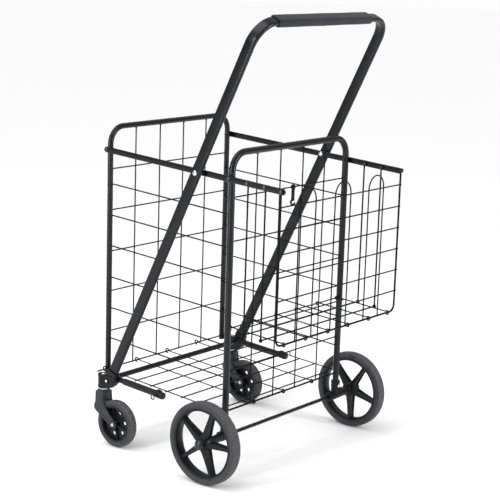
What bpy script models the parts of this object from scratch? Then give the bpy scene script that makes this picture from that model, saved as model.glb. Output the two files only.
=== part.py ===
"""Folding two-basket shopping trolley, modelled piece by piece in its unfolded pose.

Frame: metres, +Z up, -Y is the front (swivel casters), +Y is the rear, where the user walks.
"left" is -X and "right" is +X for a user who stands behind the trolley.
The origin lies on the ground under the middle of the trolley.
"""
import math

import bmesh
import bpy
from mathutils import Matrix, Vector

# ---------------------------------------------------------------- driving dimensions
FRONT_Y = -0.24425         # plane of the front frame and its mesh
FRAME_DEPTH = 0.348        # from the front frame back to the rear frame
REAR_Y = FRONT_Y + FRAME_DEPTH
LINK_DROP = 0.022          # every link's rear pivot sits this much lower than its front pivot

FRONT_POST_X = 0.200       # half the spacing of the front posts
FRONT_TUBE_R = 0.00625
FRONT_TOP_Z = 0.714
FRONT_FOOT_Z = 0.157
FRONT_BEND = 0.038

REAR_POST_X = 0.2015
REAR_TUBE_R = 0.0072
REAR_TOP_Z = 0.696
REAR_FOOT_Z = 0.1035
REAR_BEND = 0.040
TUBE_WALL = 0.0012

WIRE_R = 0.0015            # mesh wires
RIM_WIRE_R = 0.0017        # bottom wire of the front mesh, floor edge wires
THICK_WIRE_R = 0.0021      # bottom wire of the rear mesh
MESH_X = (-0.12, -0.04, 0.04, 0.12)
FRONT_ROWS = (0.6215, 0.5295, 0.4360, 0.3450, 0.2525)
FRONT_BOTTOM_Z = 0.1655
FRONT_BOTTOM_TIP_X = 0.234
REAR_ROWS = (0.6035, 0.5105, 0.4185, 0.3245, 0.2315)
REAR_BOTTOM_Z = FRONT_BOTTOM_Z - LINK_DROP
REAR_BOTTOM_TIP_X = 0.2175
BASKET_ROW_Z = REAR_ROWS[3]

SIDE_WIRE_Z = (0.5870, 0.5165, 0.4470, 0.3755, 0.3050, 0.2345)   # at the front posts
SIDE_WIRE_X = 0.1908

ARM_PIVOT_Z = 0.6440       # at the rear post
ARM_INNER_X = 0.2098
ARM_THICK = 0.0044
ARM_HEIGHT = 0.0130
HANDLE_PIVOT = 0.0760      # along Y, ahead of the rear post
ROD_REACH = (0.0480, 0.0935)   # along Y, behind the rear post
PANEL_REACH = 0.1395
ARM_SLOPE = LINK_DROP / FRAME_DEPTH

HANDLE_X = 0.2255
HANDLE_WIDE = 0.0250
HANDLE_THICK = 0.0105
HANDLE_LEAN = math.radians(25.65)
HANDLE_TOP_Z = 0.9675
HANDLE_FOOT_Z = 0.1650
HANDLE_BEND = 0.052
GRIP_HALF = 0.163
GRIP_SHIFT = 0.012

BASE_X = 0.2186            # side arms of the base tube
BASE_INNER_X = 0.2124      # nothing on the handle comes closer to the middle than this
BASE_R = 0.0060
BASE_Y = FRONT_Y + 0.035
BASE_DROP = 0.0086         # base tube's axis below the floor's edge wires
BASE_ARM_END = 0.183       # behind the front frame
CLIP_LENGTH = 0.022
CLIP_WIDE = 0.0150
LATCH_BEHIND = 0.1760
LATCH_ANGLE = {"left": math.radians(8), "right": math.radians(-172)}
LATCH_SIZE = 0.0160        # length of the open hook

KINGPIN_Y = FRONT_Y + 0.012
KINGPIN_R = 0.0050
KINGPIN_TOP_Z = 0.1500
CASTER_TRAIL = 0.043
CASTER_R = 0.0535
CASTER_TYRE_W = 0.0220
FORK_INNER = 0.0125
FORK_PLATE = 0.0030
CROWN_TOP_Z = 0.1255
BRACKET_FOOT_Z = 0.1300

REAR_WHEEL_R = 0.0895
REAR_TYRE_W = 0.0260
REAR_WHEEL_X = 0.2665
AXLE_R = 0.0040
AXLE_Z = REAR_WHEEL_R

FLOOR_X = (-0.2103, -0.1055, 0.0, 0.1055, 0.2103)
FLOOR_EDGE = 0.2117
LOOP_RISE = 0.0011          # the floor's front loops stand this much above the wire they hold
FLOOR_CROSS = (0.0950, 0.1405, 0.1860, 0.2315, 0.2770, 0.3290)   # behind the front frame
BASKET_X = (-0.1905, -0.1160, -0.0366, 0.0366, 0.1160, 0.1905)
PANEL_X = 0.2169
PANEL_WIRE_R = 0.0022
PANEL_ROWS = (0.6040, 0.5555, 0.5070, 0.4590, 0.4105, 0.3625)
ARCH_X = (-0.124, 0.0, 0.124)
ARCH_HALF = 0.028
ROD_R = 0.0018
ROD_X = 0.2077

PIVOT_R = 0.0026           # rivets of the side arms
ROD_PIN_R = 0.0021
GAP = 0.0003               # clearance between touching pieces
WIRE_SIDES = 5
TUBE_SIDES = 10
SIDES = {"left": -1, "right": 1}


# ---------------------------------------------------------------- scene and materials
def clear_scene():
    for obj in list(bpy.data.objects):
        bpy.data.objects.remove(obj, do_unlink=True)


def make_material(name, colour, roughness, metallic):
    material = bpy.data.materials.new(name)
    material.use_nodes = True
    shader = material.node_tree.nodes["Principled BSDF"]
    shader.inputs["Base Color"].default_value = (*colour, 1.0)
    shader.inputs["Roughness"].default_value = roughness
    shader.inputs["Metallic"].default_value = metallic
    material.diffuse_color = (*colour, 1.0)
    return material


# ---------------------------------------------------------------- mesh building
def finish_mesh(bm):
    """Close a bmesh into a mesh whose faces point outwards."""
    bmesh.ops.recalc_face_normals(bm, faces=bm.faces)
    mesh = bpy.data.meshes.new("piece")
    bm.to_mesh(mesh)
    bm.free()
    return mesh


def round_section(radius, sides):
    turns = [math.tau * (k + 0.5) / sides for k in range(sides)]
    return [(radius * math.cos(turn), radius * math.sin(turn)) for turn in turns]


def around(radius, sides):
    """Radius of a socket's polygon that clears a round piece however both are turned."""
    return (radius + GAP) / math.cos(math.pi / sides)


def box_section(width, height, corner, steps=3):
    """Rounded rectangle, width along the path's side and height along its up direction."""
    points = []
    for quarter, (sx, sy) in enumerate(((1, 1), (-1, 1), (-1, -1), (1, -1))):
        for k in range(steps):
            angle = (quarter + k / (steps - 1)) * math.pi / 2
            points.append((sx * (width / 2 - corner) + corner * math.cos(angle),
                           sy * (height / 2 - corner) + corner * math.sin(angle)))
    return points


def rounded_path(corners, bend, steps=4):
    """Points along straight runs joined by arcs of radius bend."""
    corners = [Vector(c) for c in corners]
    points = [corners[0]]
    for before, corner, after in zip(corners, corners[1:], corners[2:]):
        to_before = (before - corner).normalized()
        to_after = (after - corner).normalized()
        half = to_before.angle(to_after) / 2
        run = bend / math.tan(half)
        centre = corner + (to_before + to_after).normalized() * (bend / math.sin(half))
        first = corner + to_before * run - centre
        normal = first.cross(corner + to_after * run - centre).normalized()
        sweep_angle = math.pi - 2 * half
        for k in range(steps + 1):
            points.append(centre + Matrix.Rotation(sweep_angle * k / steps, 3, normal) @ first)
    points.append(corners[-1])
    return points


def ring_of(bm, centre, side, up, section):
    return [bm.verts.new(centre + side * u + up * v) for u, v in section]


def bridge(bm, ring_a, ring_b):
    count = len(ring_a)
    for k in range(count):
        bm.faces.new((ring_a[k], ring_a[(k + 1) % count], ring_b[(k + 1) % count], ring_b[k]))


def sweep(path, section, side_hint=(1, 0, 0), bore=None):
    """Carry a section along a path. bore is an inner section that makes it a tube with open ends."""
    path = [Vector(p) for p in path]
    bm = bmesh.new()
    side = Vector(side_hint)
    outer_rings, inner_rings = [], []
    for k, point in enumerate(path):
        ahead = path[min(k + 1, len(path) - 1)] - point
        behind = point - path[max(k - 1, 0)]
        tangent = (ahead.normalized() + behind.normalized()).normalized()
        side = (side - tangent * side.dot(tangent)).normalized()
        up = tangent.cross(side)
        outer_rings.append(ring_of(bm, point, side, up, section))
        if bore:
            inner_rings.append(ring_of(bm, point, side, up, bore))
    for rings in (outer_rings, inner_rings):
        for ring_a, ring_b in zip(rings, rings[1:]):
            bridge(bm, ring_a, ring_b)
    for end in (0, -1):
        if bore:
            bridge(bm, outer_rings[end], inner_rings[end])
        else:
            bm.faces.new(outer_rings[end])
    return finish_mesh(bm)


def wire(path, radius=WIRE_R, sides=WIRE_SIDES, side_hint=(1, 0, 0)):
    return sweep(path, round_section(radius, sides), side_hint)


def pin(start, end, radius, sides=10):
    """Straight round pin along X, Y or Z."""
    direction = Vector(end) - Vector(start)
    hint = (0, 0, 1) if abs(direction.z) < 0.5 * direction.length else (1, 0, 0)
    return sweep([start, end], round_section(radius, sides), hint)


def lathe(profile, centre, sides):
    """Turn a closed outline of (x, radius) points about the X axis through centre."""
    bm = bmesh.new()
    rings = []
    for k in range(sides):
        out = Vector((0, math.cos(math.tau * k / sides), math.sin(math.tau * k / sides)))
        rings.append([bm.verts.new(Vector(centre) + Vector((x, 0, 0)) + out * r) for x, r in profile])
    for ring_a, ring_b in zip(rings, rings[1:] + rings[:1]):
        bridge(bm, ring_a, ring_b)
    return finish_mesh(bm)


def slab(outline, x_from, x_to):
    """Extrude a closed outline of (y, z) points along X."""
    bm = bmesh.new()
    rings = [[bm.verts.new((x, y, z)) for y, z in outline] for x in (x_from, x_to)]
    bridge(bm, rings[0], rings[1])
    for ring in rings:
        bm.faces.new(ring)
    return finish_mesh(bm)


def joined(meshes):
    """Several meshes that don't touch, as one mesh."""
    bm = bmesh.new()
    for mesh in meshes:
        bm.from_mesh(mesh)
        bpy.data.meshes.remove(mesh)
    return finish_mesh(bm)


def combine(mesh_a, mesh_b, operation):
    """Boolean of two closed meshes with the EXACT solver."""
    objects = [bpy.data.objects.new("operand", mesh) for mesh in (mesh_a, mesh_b)]
    for obj in objects:
        bpy.context.scene.collection.objects.link(obj)
    modifier = objects[0].modifiers.new("combine", "BOOLEAN")
    modifier.operation = operation
    modifier.solver = "EXACT"
    modifier.object = objects[1]
    bpy.context.view_layer.update()
    evaluated = objects[0].evaluated_get(bpy.context.evaluated_depsgraph_get())
    result = bpy.data.meshes.new_from_object(evaluated)
    for obj, mesh in zip(objects, (mesh_a, mesh_b)):
        bpy.data.objects.remove(obj)
        bpy.data.meshes.remove(mesh)
    return result


def union(*meshes):
    result = meshes[0]
    for mesh in meshes[1:]:
        result = combine(result, mesh, "UNION")
    return result


def cut(mesh, *cutters):
    for cutter in cutters:
        mesh = combine(mesh, cutter, "DIFFERENCE")
    return mesh


def add_joint(name, location, parent=None):
    """Empty on a joint's axis; its pieces and the joints that it carries are its children."""
    empty = bpy.data.objects.new(name, None)
    empty.empty_display_size = 0.02
    bpy.context.scene.collection.objects.link(empty)
    empty.parent = parent
    empty.location = Vector(location) - world_of(parent)
    return empty


def world_of(empty):
    place = Vector((0, 0, 0))
    while empty:
        place += empty.location
        empty = empty.parent
    return place


def add_part(name, mesh, material, joint=None):
    """Place a mesh built in world coordinates, with its origin on its joint."""
    obj = bpy.data.objects.new(name, mesh)
    mesh.name = name
    mesh.transform(Matrix.Translation(-world_of(joint)))
    mesh.materials.clear()
    mesh.materials.append(material)
    mesh.shade_smooth()
    mesh.set_sharp_from_angle(angle=math.radians(40))
    bpy.context.scene.collection.objects.link(obj)
    obj.parent = joint
    return obj


# ---------------------------------------------------------------- frames and meshes
def arm_z(reach):
    """Height of the side arms at a distance behind the rear post."""
    return ARM_PIVOT_Z - ARM_SLOPE * reach


def inverted_u(half, y, foot_z, top_z, bend, radius):
    corners = [(-half, y, foot_z), (-half, y, top_z), (half, y, top_z), (half, y, foot_z)]
    section = round_section(radius, TUBE_SIDES)
    bore = round_section(radius - TUBE_WALL, TUBE_SIDES)
    return sweep(rounded_path(corners, bend), section, (0, 1, 0), bore)


def post_holes(half, y, heights, radius, sides=6):
    reach = 0.012
    return joined([pin((s * half - reach, y, z), (s * half + reach, y, z), radius, sides)
                   for s in (-1, 1) for z in heights])


def front_frame():
    tube = inverted_u(FRONT_POST_X, FRONT_Y, FRONT_FOOT_Z, FRONT_TOP_Z, FRONT_BEND, FRONT_TUBE_R)
    wires = post_holes(FRONT_POST_X, FRONT_Y, SIDE_WIRE_Z, WIRE_R + 2 * GAP)
    rest = joined([post_holes(FRONT_POST_X, FRONT_Y, (FRONT_BOTTOM_Z,), RIM_WIRE_R + 2 * GAP),
                   post_holes(FRONT_POST_X, FRONT_Y, (ARM_PIVOT_Z + LINK_DROP,), PIVOT_R + GAP, 10)])
    return cut(tube, wires, rest)


def rear_frame():
    tube = inverted_u(REAR_POST_X, REAR_Y, REAR_FOOT_Z, REAR_TOP_Z, REAR_BEND, REAR_TUBE_R)
    heights = [z - LINK_DROP for z in SIDE_WIRE_Z]
    wires = post_holes(REAR_POST_X, REAR_Y, heights, WIRE_R + 2 * GAP)
    rest = joined([post_holes(REAR_POST_X, REAR_Y, (REAR_BOTTOM_Z,), THICK_WIRE_R + 2 * GAP),
                   post_holes(REAR_POST_X, REAR_Y, (ARM_PIVOT_Z,), PIVOT_R + GAP, 10)])
    return cut(tube, wires, rest)


def mesh_panel(y, post_inner, rows, top_z, bottom_z, bottom_r, tip_x):
    """Welded wire panel: uprights, level wires and a thicker wire along the bottom."""
    uprights = joined([wire([(x, y, bottom_z), (x, y, top_z - GAP)]) for x in MESH_X])
    reach = post_inner - GAP
    level = [wire([(-reach, y, z), (reach, y, z)], side_hint=(0, 0, 1)) for z in rows]
    level.append(wire([(-tip_x, y, bottom_z), (tip_x, y, bottom_z)], bottom_r, side_hint=(0, 0, 1)))
    return union(joined(level), uprights)


def side_wire(side, front_z):
    """Level wire between a front and a rear post, its ends bent outwards through the posts."""
    inner = side * SIDE_WIRE_X
    front_end = side * (FRONT_POST_X + FRONT_TUBE_R + 0.0012)
    rear_end = side * (REAR_POST_X + REAR_TUBE_R + 0.0002)
    rear_z = front_z - LINK_DROP
    corners = [(front_end, FRONT_Y, front_z), (inner, FRONT_Y, front_z),
               (inner, REAR_Y, rear_z), (rear_end, REAR_Y, rear_z)]
    return wire(rounded_path(corners, 0.0028, 2), side_hint=(0, 0, 1))


# ---------------------------------------------------------------- side arms and handle
def domed_pin(x_from, x_to, y, z, radius, head, head_height):
    """Pin along X with a domed head at x_to."""
    sign = 1 if x_to > x_from else -1
    shank = pin((x_from, y, z), (x_to, y, z), radius)
    bm = bmesh.new()
    rings = []
    for rise, wide in ((0.0, 1.0), (0.45, 0.86), (0.8, 0.55), (1.0, 0.15)):
        middle = Vector((x_to + sign * (rise * head_height - GAP), y, z))
        section = round_section(head * wide, 12)
        rings.append(ring_of(bm, middle, Vector((0, 1, 0)), Vector((0, 0, 1)), section))
    for ring_a, ring_b in zip(rings, rings[1:]):
        bridge(bm, ring_a, ring_b)
    bm.faces.new(rings[0])
    bm.faces.new(rings[-1])
    return union(shank, finish_mesh(bm))


def side_arm(side):
    """Flat bar with pins for the front post, the small basket's rods and its outer panel."""
    inner, outer = side * ARM_INNER_X, side * (ARM_INNER_X + ARM_THICK)
    middle = side * (ARM_INNER_X + ARM_THICK / 2)
    path = [(middle, REAR_Y + reach, arm_z(reach)) for reach in (-FRAME_DEPTH - 0.006, PANEL_REACH + 0.007)]
    bar = sweep(path, box_section(ARM_THICK, ARM_HEIGHT, 0.0018), (1, 0, 0))
    for reach in (0.0, -HANDLE_PIVOT):
        y, z = REAR_Y + reach, arm_z(reach)
        bar = cut(bar, pin((side * 0.20, y, z), (side * 0.23, y, z), PIVOT_R + GAP))
    for reach in ROD_REACH:
        bar = union(bar, domed_pin(middle, inner - side * 0.0042, REAR_Y + reach, arm_z(reach),
                                   ROD_PIN_R, 0.0040, 0.0016))
    bar = union(bar, domed_pin(middle, outer + side * 0.0056, REAR_Y + PANEL_REACH, arm_z(PANEL_REACH),
                               ROD_PIN_R, 0.0040, 0.0016))
    z = arm_z(-FRAME_DEPTH)
    head = domed_pin(middle, outer, FRONT_Y, z, PIVOT_R, 0.0052, 0.0024)
    shank = pin((middle, FRONT_Y, z), (side * (FRONT_POST_X - 0.008), FRONT_Y, z), PIVOT_R)
    return union(bar, head, shank)


def handle_point(z):
    """Point on the centre line of a handle leg, as (y, z)."""
    pivot_y = REAR_Y - HANDLE_PIVOT
    return pivot_y + (z - arm_z(-HANDLE_PIVOT)) * math.tan(HANDLE_LEAN), z


def handle_path(foot_z=HANDLE_FOOT_Z):
    corners = [(side * HANDLE_X, *handle_point(z)) for side, z in ((-1, foot_z), (-1, HANDLE_TOP_Z),
                                                                    (1, HANDLE_TOP_Z), (1, foot_z))]
    return rounded_path(corners, HANDLE_BEND, 5)


def handle_tube():
    section = box_section(HANDLE_THICK, HANDLE_WIDE, 0.0046)
    bore = box_section(HANDLE_THICK - 2 * TUBE_WALL, HANDLE_WIDE - 2 * TUBE_WALL, 0.0046 - TUBE_WALL)
    tube = sweep(handle_path(), section, (1, 0, 0), bore)
    y, z = REAR_Y - HANDLE_PIVOT, arm_z(-HANDLE_PIVOT)
    holes = [pin((side * 0.215, y, z), (side * 0.235, y, z), PIVOT_R + GAP) for side in (-1, 1)]
    return cut(tube, joined(holes))


def handle_grip():
    """Foam sleeve on the cross bar, thicker than the tube all round."""
    y, z = handle_point(HANDLE_TOP_Z)
    path = [(GRIP_SHIFT - GRIP_HALF, y, z), (GRIP_SHIFT + GRIP_HALF, y, z)]
    lean_up = (0, math.sin(HANDLE_LEAN), math.cos(HANDLE_LEAN))
    outer = box_section(HANDLE_THICK + 0.0075, HANDLE_WIDE + 0.0036, 0.0062)
    inner = box_section(HANDLE_THICK + 2 * GAP, HANDLE_WIDE + 2 * GAP, 0.0047)
    return sweep(path, outer, lean_up, inner)


def pivot_rivet(side, reach, x_inner, x_outer, head):
    """Rivet along X through an arm and the piece beside it, headed on the outside."""
    y, z = REAR_Y + reach, arm_z(reach)
    return domed_pin(side * x_inner, side * (x_outer + GAP), y, z, PIVOT_R, head, 0.0030)


# ---------------------------------------------------------------- base tube, clips and latch hooks
def floor_edge_z(behind):
    """Height of the line through the floor's two pivots, at a distance behind the front frame."""
    return FRONT_BOTTOM_Z - ARM_SLOPE * behind


def base_axis_z(behind):
    return floor_edge_z(behind) - BASE_DROP


def base_path():
    z_front = base_axis_z(BASE_Y - FRONT_Y)
    z_rear = base_axis_z(BASE_ARM_END)
    y_end = FRONT_Y + BASE_ARM_END
    corners = [(-BASE_X, y_end, z_rear), (-BASE_X, BASE_Y, z_front),
               (BASE_X, BASE_Y, z_front), (BASE_X, y_end, z_rear)]
    return rounded_path(corners, 0.014, 4)


def base_tube():
    return sweep(base_path(), round_section(BASE_R, TUBE_SIDES), (0, 0, 1),
                 round_section(BASE_R - TUBE_WALL, TUBE_SIDES))


def end_clip(side):
    """Moulded end piece on an arm of the base tube; the latch hook turns in its outer face."""
    y_to = FRONT_Y + BASE_ARM_END + 0.005
    y_from = y_to - CLIP_LENGTH
    middle = side * (BASE_INNER_X + CLIP_WIDE / 2)
    ends = [(middle, y, base_axis_z(y - FRONT_Y) + 0.0005) for y in (y_from, y_to)]
    body = sweep(ends, box_section(CLIP_WIDE, 0.0175, 0.004), (1, 0, 0))
    tube_end = [(side * BASE_X, y, base_axis_z(y - FRONT_Y))
                for y in (y_from - 0.01, FRONT_Y + BASE_ARM_END + GAP)]
    socket = sweep(tube_end, round_section(BASE_R + GAP, TUBE_SIDES), (0, 0, 1))
    return cut(body, socket, latch_pivot(side, 0.0012 + 2 * GAP, 0.0020 + GAP, 0.004))


def latch_pivot(side, radius, depth, reach):
    """Pin in the clip's outer face, also used to cut its hole."""
    face = BASE_INNER_X + CLIP_WIDE
    y, z = FRONT_Y + LATCH_BEHIND, base_axis_z(LATCH_BEHIND)
    return pin((side * (face - depth), y, z), (side * (face + reach), y, z), radius, 8)


def latch_hook(side, angle):
    """Open wire hook that swings on the end clip."""
    x = side * (BASE_INNER_X + CLIP_WIDE + 0.0030)
    y, z = FRONT_Y + LATCH_BEHIND, base_axis_z(LATCH_BEHIND)
    outline = [(0.0, -0.05), (0.41, -0.05), (0.48, 0.46), (0.70, 0.55), (0.93, 0.43), (1.0, -0.05)]
    cos, sin = LATCH_SIZE * math.cos(angle), LATCH_SIZE * math.sin(angle)
    points = [(x, y + a * cos - b * sin, z + a * sin + b * cos) for a, b in outline]
    loop = wire(rounded_path(points, 0.0020, 2), 0.0012, 6, (1, 0, 0))
    return union(loop, latch_pivot(side, 0.0012, 0.0020, 0.0032))


# ---------------------------------------------------------------- casters
def caster_bracket(side):
    """Moulded bracket: sleeve on the caster stem, sleeve on the handle leg and a seat for the base tube."""
    x = side * HANDLE_X
    foot = FRONT_Y
    stem = pin((x, KINGPIN_Y, BRACKET_FOOT_Z), (x, KINGPIN_Y, BRACKET_FOOT_Z + 0.0315), 0.0135, 16)
    profile = [(foot + 0.012, 0.1300), (foot + 0.036, 0.1300), (foot + 0.0490, 0.1400),
               (foot + 0.0560, 0.1560), (foot + 0.0500, 0.1640), (foot + 0.0220, 0.1520),
               (foot + 0.0120, 0.1500)]
    web = slab(profile, x - 0.0105, x + 0.0105)
    sleeve_ends = [(x, *handle_point(z)) for z in (0.1400, 0.1725)]
    sleeve = sweep(sleeve_ends, box_section(HANDLE_THICK + 0.0070, HANDLE_WIDE + 0.0044, 0.0055), (1, 0, 0))
    y_mid = BASE_Y
    z_mid = base_axis_z(BASE_Y - FRONT_Y)
    boss = slab([(y_mid - 0.0095, z_mid - 0.0095), (y_mid + 0.0165, z_mid - 0.0100),
                 (y_mid + 0.0165, z_mid + 0.0085), (y_mid - 0.0095, z_mid + 0.0088)],
                side * BASE_INNER_X, x + side * 0.002)
    body = union(stem, web, sleeve, boss)
    leg = sweep([(x, *handle_point(z)) for z in (HANDLE_FOOT_Z - GAP, 0.20)],
                box_section(HANDLE_THICK + 2 * GAP, HANDLE_WIDE + 2 * GAP, 0.0047), (1, 0, 0))
    tube = sweep(base_path(), round_section(BASE_R + GAP, TUBE_SIDES), (0, 0, 1))
    stud = pin((x, KINGPIN_Y, 0.12), (x, KINGPIN_Y, KINGPIN_TOP_Z + GAP), KINGPIN_R + GAP, 12)
    return cut(body, tube, leg, stud)


def kingpin(side):
    """Zinc stud and bearing cup between the bracket and the fork."""
    x = side * HANDLE_X
    stud = pin((x, KINGPIN_Y, 0.1080), (x, KINGPIN_Y, KINGPIN_TOP_Z), KINGPIN_R, 12)
    cup = pin((x, KINGPIN_Y, CROWN_TOP_Z + GAP), (x, KINGPIN_Y, BRACKET_FOOT_Z - GAP), 0.0105, 16)
    return union(cup, stud)


def caster_fork(side):
    """Fork with a round crown and two plates that trail back to the wheel axle."""
    x = side * HANDLE_X
    axle_y = KINGPIN_Y + CASTER_TRAIL
    crown = pin((x, KINGPIN_Y, CROWN_TOP_Z - 0.0240), (x, KINGPIN_Y, CROWN_TOP_Z), 0.0155, 20)
    tip = [(axle_y + 0.0085 * math.cos(a), CASTER_R + 0.0085 * math.sin(a))
           for a in [math.radians(d) for d in (215, 260, 305, 350, 35)]]
    outline = tip + [(KINGPIN_Y + 0.0140, CROWN_TOP_Z - 0.014), (KINGPIN_Y + 0.0120, CROWN_TOP_Z - 0.004),
                     (KINGPIN_Y - 0.0120, CROWN_TOP_Z - 0.004), (KINGPIN_Y - 0.0135, CROWN_TOP_Z - 0.032)]
    plates = [slab(outline, x + s * FORK_INNER, x + s * (FORK_INNER + FORK_PLATE)) for s in (-1, 1)]
    body = union(crown, *plates)
    stud = pin((x, KINGPIN_Y, 0.10), (x, KINGPIN_Y, 0.13), KINGPIN_R + GAP, 12)
    wheel_room = pin((x - FORK_INNER, axle_y, CASTER_R), (x + FORK_INNER, axle_y, CASTER_R),
                     CASTER_R + 0.0035, 32)
    bolt = pin((x - 0.03, axle_y, CASTER_R), (x + 0.03, axle_y, CASTER_R), 0.0030 + GAP)
    return cut(body, stud, wheel_room, bolt)


def tyre_profile(width, outer_r, inner_r, shoulder):
    half = width / 2
    return [(-half + 0.001, inner_r), (half - 0.001, inner_r), (half, outer_r - 2.2 * shoulder),
            (half * 0.72, outer_r - 0.7 * shoulder), (half * 0.35, outer_r), (-half * 0.35, outer_r),
            (-half * 0.72, outer_r - 0.7 * shoulder), (-half, outer_r - 2.2 * shoulder)]


def caster_tyre(side):
    profile = tyre_profile(CASTER_TYRE_W, CASTER_R, CASTER_R * 0.76, 0.0036)
    return lathe(profile, (side * HANDLE_X, KINGPIN_Y + CASTER_TRAIL, CASTER_R), 24)


def caster_hub(side):
    """Moulded caster wheel: hub, web with six openings and rim."""
    centre = (side * HANDLE_X, KINGPIN_Y + CASTER_TRAIL, CASTER_R)
    rim = CASTER_R * 0.76 - GAP
    bore = 0.0030 + GAP
    profile = [(-0.0112, bore), (0.0112, bore), (0.0112, 0.0085), (0.0020, 0.0100), (0.0020, rim - 0.0045),
               (0.0098, rim - 0.0035), (0.0098, rim), (-0.0098, rim), (-0.0098, rim - 0.0035),
               (-0.0020, rim - 0.0045), (-0.0020, 0.0100), (-0.0112, 0.0085)]
    hub = lathe(profile, centre, 24)
    holes = []
    for k in range(6):
        angle = math.radians(60 * k + 12)
        y = centre[1] + 0.0205 * math.cos(angle)
        z = centre[2] + 0.0205 * math.sin(angle)
        holes.append(pin((centre[0] - 0.02, y, z), (centre[0] + 0.02, y, z), 0.0042, 8))
    return cut(hub, joined(holes))


def caster_axle(side):
    x = side * HANDLE_X
    y = KINGPIN_Y + CASTER_TRAIL
    reach = FORK_INNER + FORK_PLATE
    shank = pin((x - reach - 0.002, y, CASTER_R), (x + reach + GAP, y, CASTER_R), 0.0030)
    heads = [pin((x + s * (reach + GAP), y, CASTER_R), (x + s * (reach + 0.0030), y, CASTER_R), 0.0052, 12)
             for s in (-1, 1)]
    return union(shank, *heads)


# ---------------------------------------------------------------- rear wheels
def axle_bracket(side):
    """Moulded T piece: sleeve on the rear post's foot and barrel on the axle."""
    x = side * REAR_POST_X
    sleeve = pin((x, REAR_Y, AXLE_Z), (x, REAR_Y, REAR_FOOT_Z + 0.0210), 0.0105, 16)
    barrel = pin((side * 0.1730, REAR_Y, AXLE_Z), (side * 0.2495, REAR_Y, AXLE_Z), 0.0098, 16)
    post = pin((x, REAR_Y, REAR_FOOT_Z - GAP), (x, REAR_Y, 0.20), around(REAR_TUBE_R, 16), 16)
    axle = pin((side * 0.16, REAR_Y, AXLE_Z), (side * 0.27, REAR_Y, AXLE_Z), AXLE_R + GAP, 12)
    return cut(union(barrel, sleeve), post, axle)


def rear_tyre(side):
    profile = tyre_profile(REAR_TYRE_W, REAR_WHEEL_R, REAR_WHEEL_R * 0.84, 0.0042)
    return lathe(profile, (side * REAR_WHEEL_X, REAR_Y, AXLE_Z), 32)


def rear_hub(side):
    """Moulded wheel: hub, five flared spokes and a deep rim."""
    centre = Vector((side * REAR_WHEEL_X, REAR_Y, AXLE_Z))
    rim_r = REAR_WHEEL_R * 0.84 - GAP
    inner_r = rim_r - 0.0035
    rim = lathe([(-0.0110, inner_r), (0.0110, inner_r), (0.0118, rim_r), (-0.0118, rim_r)], centre, 32)
    bore = AXLE_R + GAP
    hub = lathe([(-0.0140, bore), (0.0155, bore), (0.0155, 0.0105), (-0.0140, 0.0135)], centre, 20)
    if side < 0:
        mirror = Matrix.Scale(-1, 4, (1, 0, 0))
        hub.transform(Matrix.Translation(centre) @ mirror @ Matrix.Translation(-centre))
        hub.flip_normals()
    spokes = []
    for k in range(5):
        angle = math.radians(72 * k + (1 if side > 0 else 57))
        bm = bmesh.new()
        radial = Vector((0, math.cos(angle), math.sin(angle)))
        across = Vector((0, -math.sin(angle), math.cos(angle)))
        rings = []
        for reach, width, depth in ((0.0090, 0.0100, 0.0230), (0.0300, 0.0075, 0.0180),
                                    (rim_r - 0.0015, 0.0065, 0.0145)):
            u, v = width / 2, depth / 2
            rings.append(ring_of(bm, centre + radial * reach, across, Vector((1, 0, 0)),
                                 [(-u, -v), (u, -v), (u, v), (-u, v)]))
        for ring_a, ring_b in zip(rings, rings[1:]):
            bridge(bm, ring_a, ring_b)
        bm.faces.new(rings[0])
        bm.faces.new(rings[-1])
        spokes.append(finish_mesh(bm))
    return union(rim, joined(spokes), hub)


def hub_cap(side):
    """Domed cap nut pressed on the end of the axle."""
    x = side * (REAR_WHEEL_X + 0.0155 + GAP)
    steps = [(0.0, 0.0108), (0.0045, 0.0108), (0.0075, 0.0090), (0.0095, 0.0050)]
    bm = bmesh.new()
    rings = [ring_of(bm, Vector((x + side * t, REAR_Y, AXLE_Z)), Vector((0, 1, 0)), Vector((0, 0, 1)),
                     round_section(r, 16)) for t, r in steps]
    for ring_a, ring_b in zip(rings, rings[1:]):
        bridge(bm, ring_a, ring_b)
    bm.faces.new(rings[0])
    bm.faces.new(rings[-1])
    hole = pin((x - side * 0.01, REAR_Y, AXLE_Z), (x + side * 0.0055, REAR_Y, AXLE_Z), AXLE_R + GAP, 12)
    return cut(finish_mesh(bm), hole)


def rear_axle():
    reach = REAR_WHEEL_X + 0.0155 + 0.0050
    rod = pin((-reach, REAR_Y, AXLE_Z), (reach, REAR_Y, AXLE_Z), AXLE_R, 12)
    washers = [pin((s * 0.2499, REAR_Y, AXLE_Z), (s * 0.2519, REAR_Y, AXLE_Z), 0.0088, 16) for s in (-1, 1)]
    return union(rod, *washers)


# ---------------------------------------------------------------- floor and small basket
def hook_arc(x, y, z, radius, start_deg, end_deg, steps=6):
    """Points of an arc in the plane across X, round a wire at (y, z)."""
    angles = [math.radians(start_deg + (end_deg - start_deg) * k / steps) for k in range(steps + 1)]
    return [(x, y + radius * math.cos(a), z + radius * math.sin(a)) for a in angles]


def hooked_wire(x, hook_a, hook_b, loop_a, loop_b, meet_a, meet_b):
    """Wire from a loop about hook_a to a loop about hook_b; it leaves each loop at its meeting angle."""
    path = hook_arc(x, *hook_a, loop_a, 300, meet_a)
    return wire(path + hook_arc(x, *hook_b, loop_b, 180 - meet_b, -125), WIRE_R)


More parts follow.
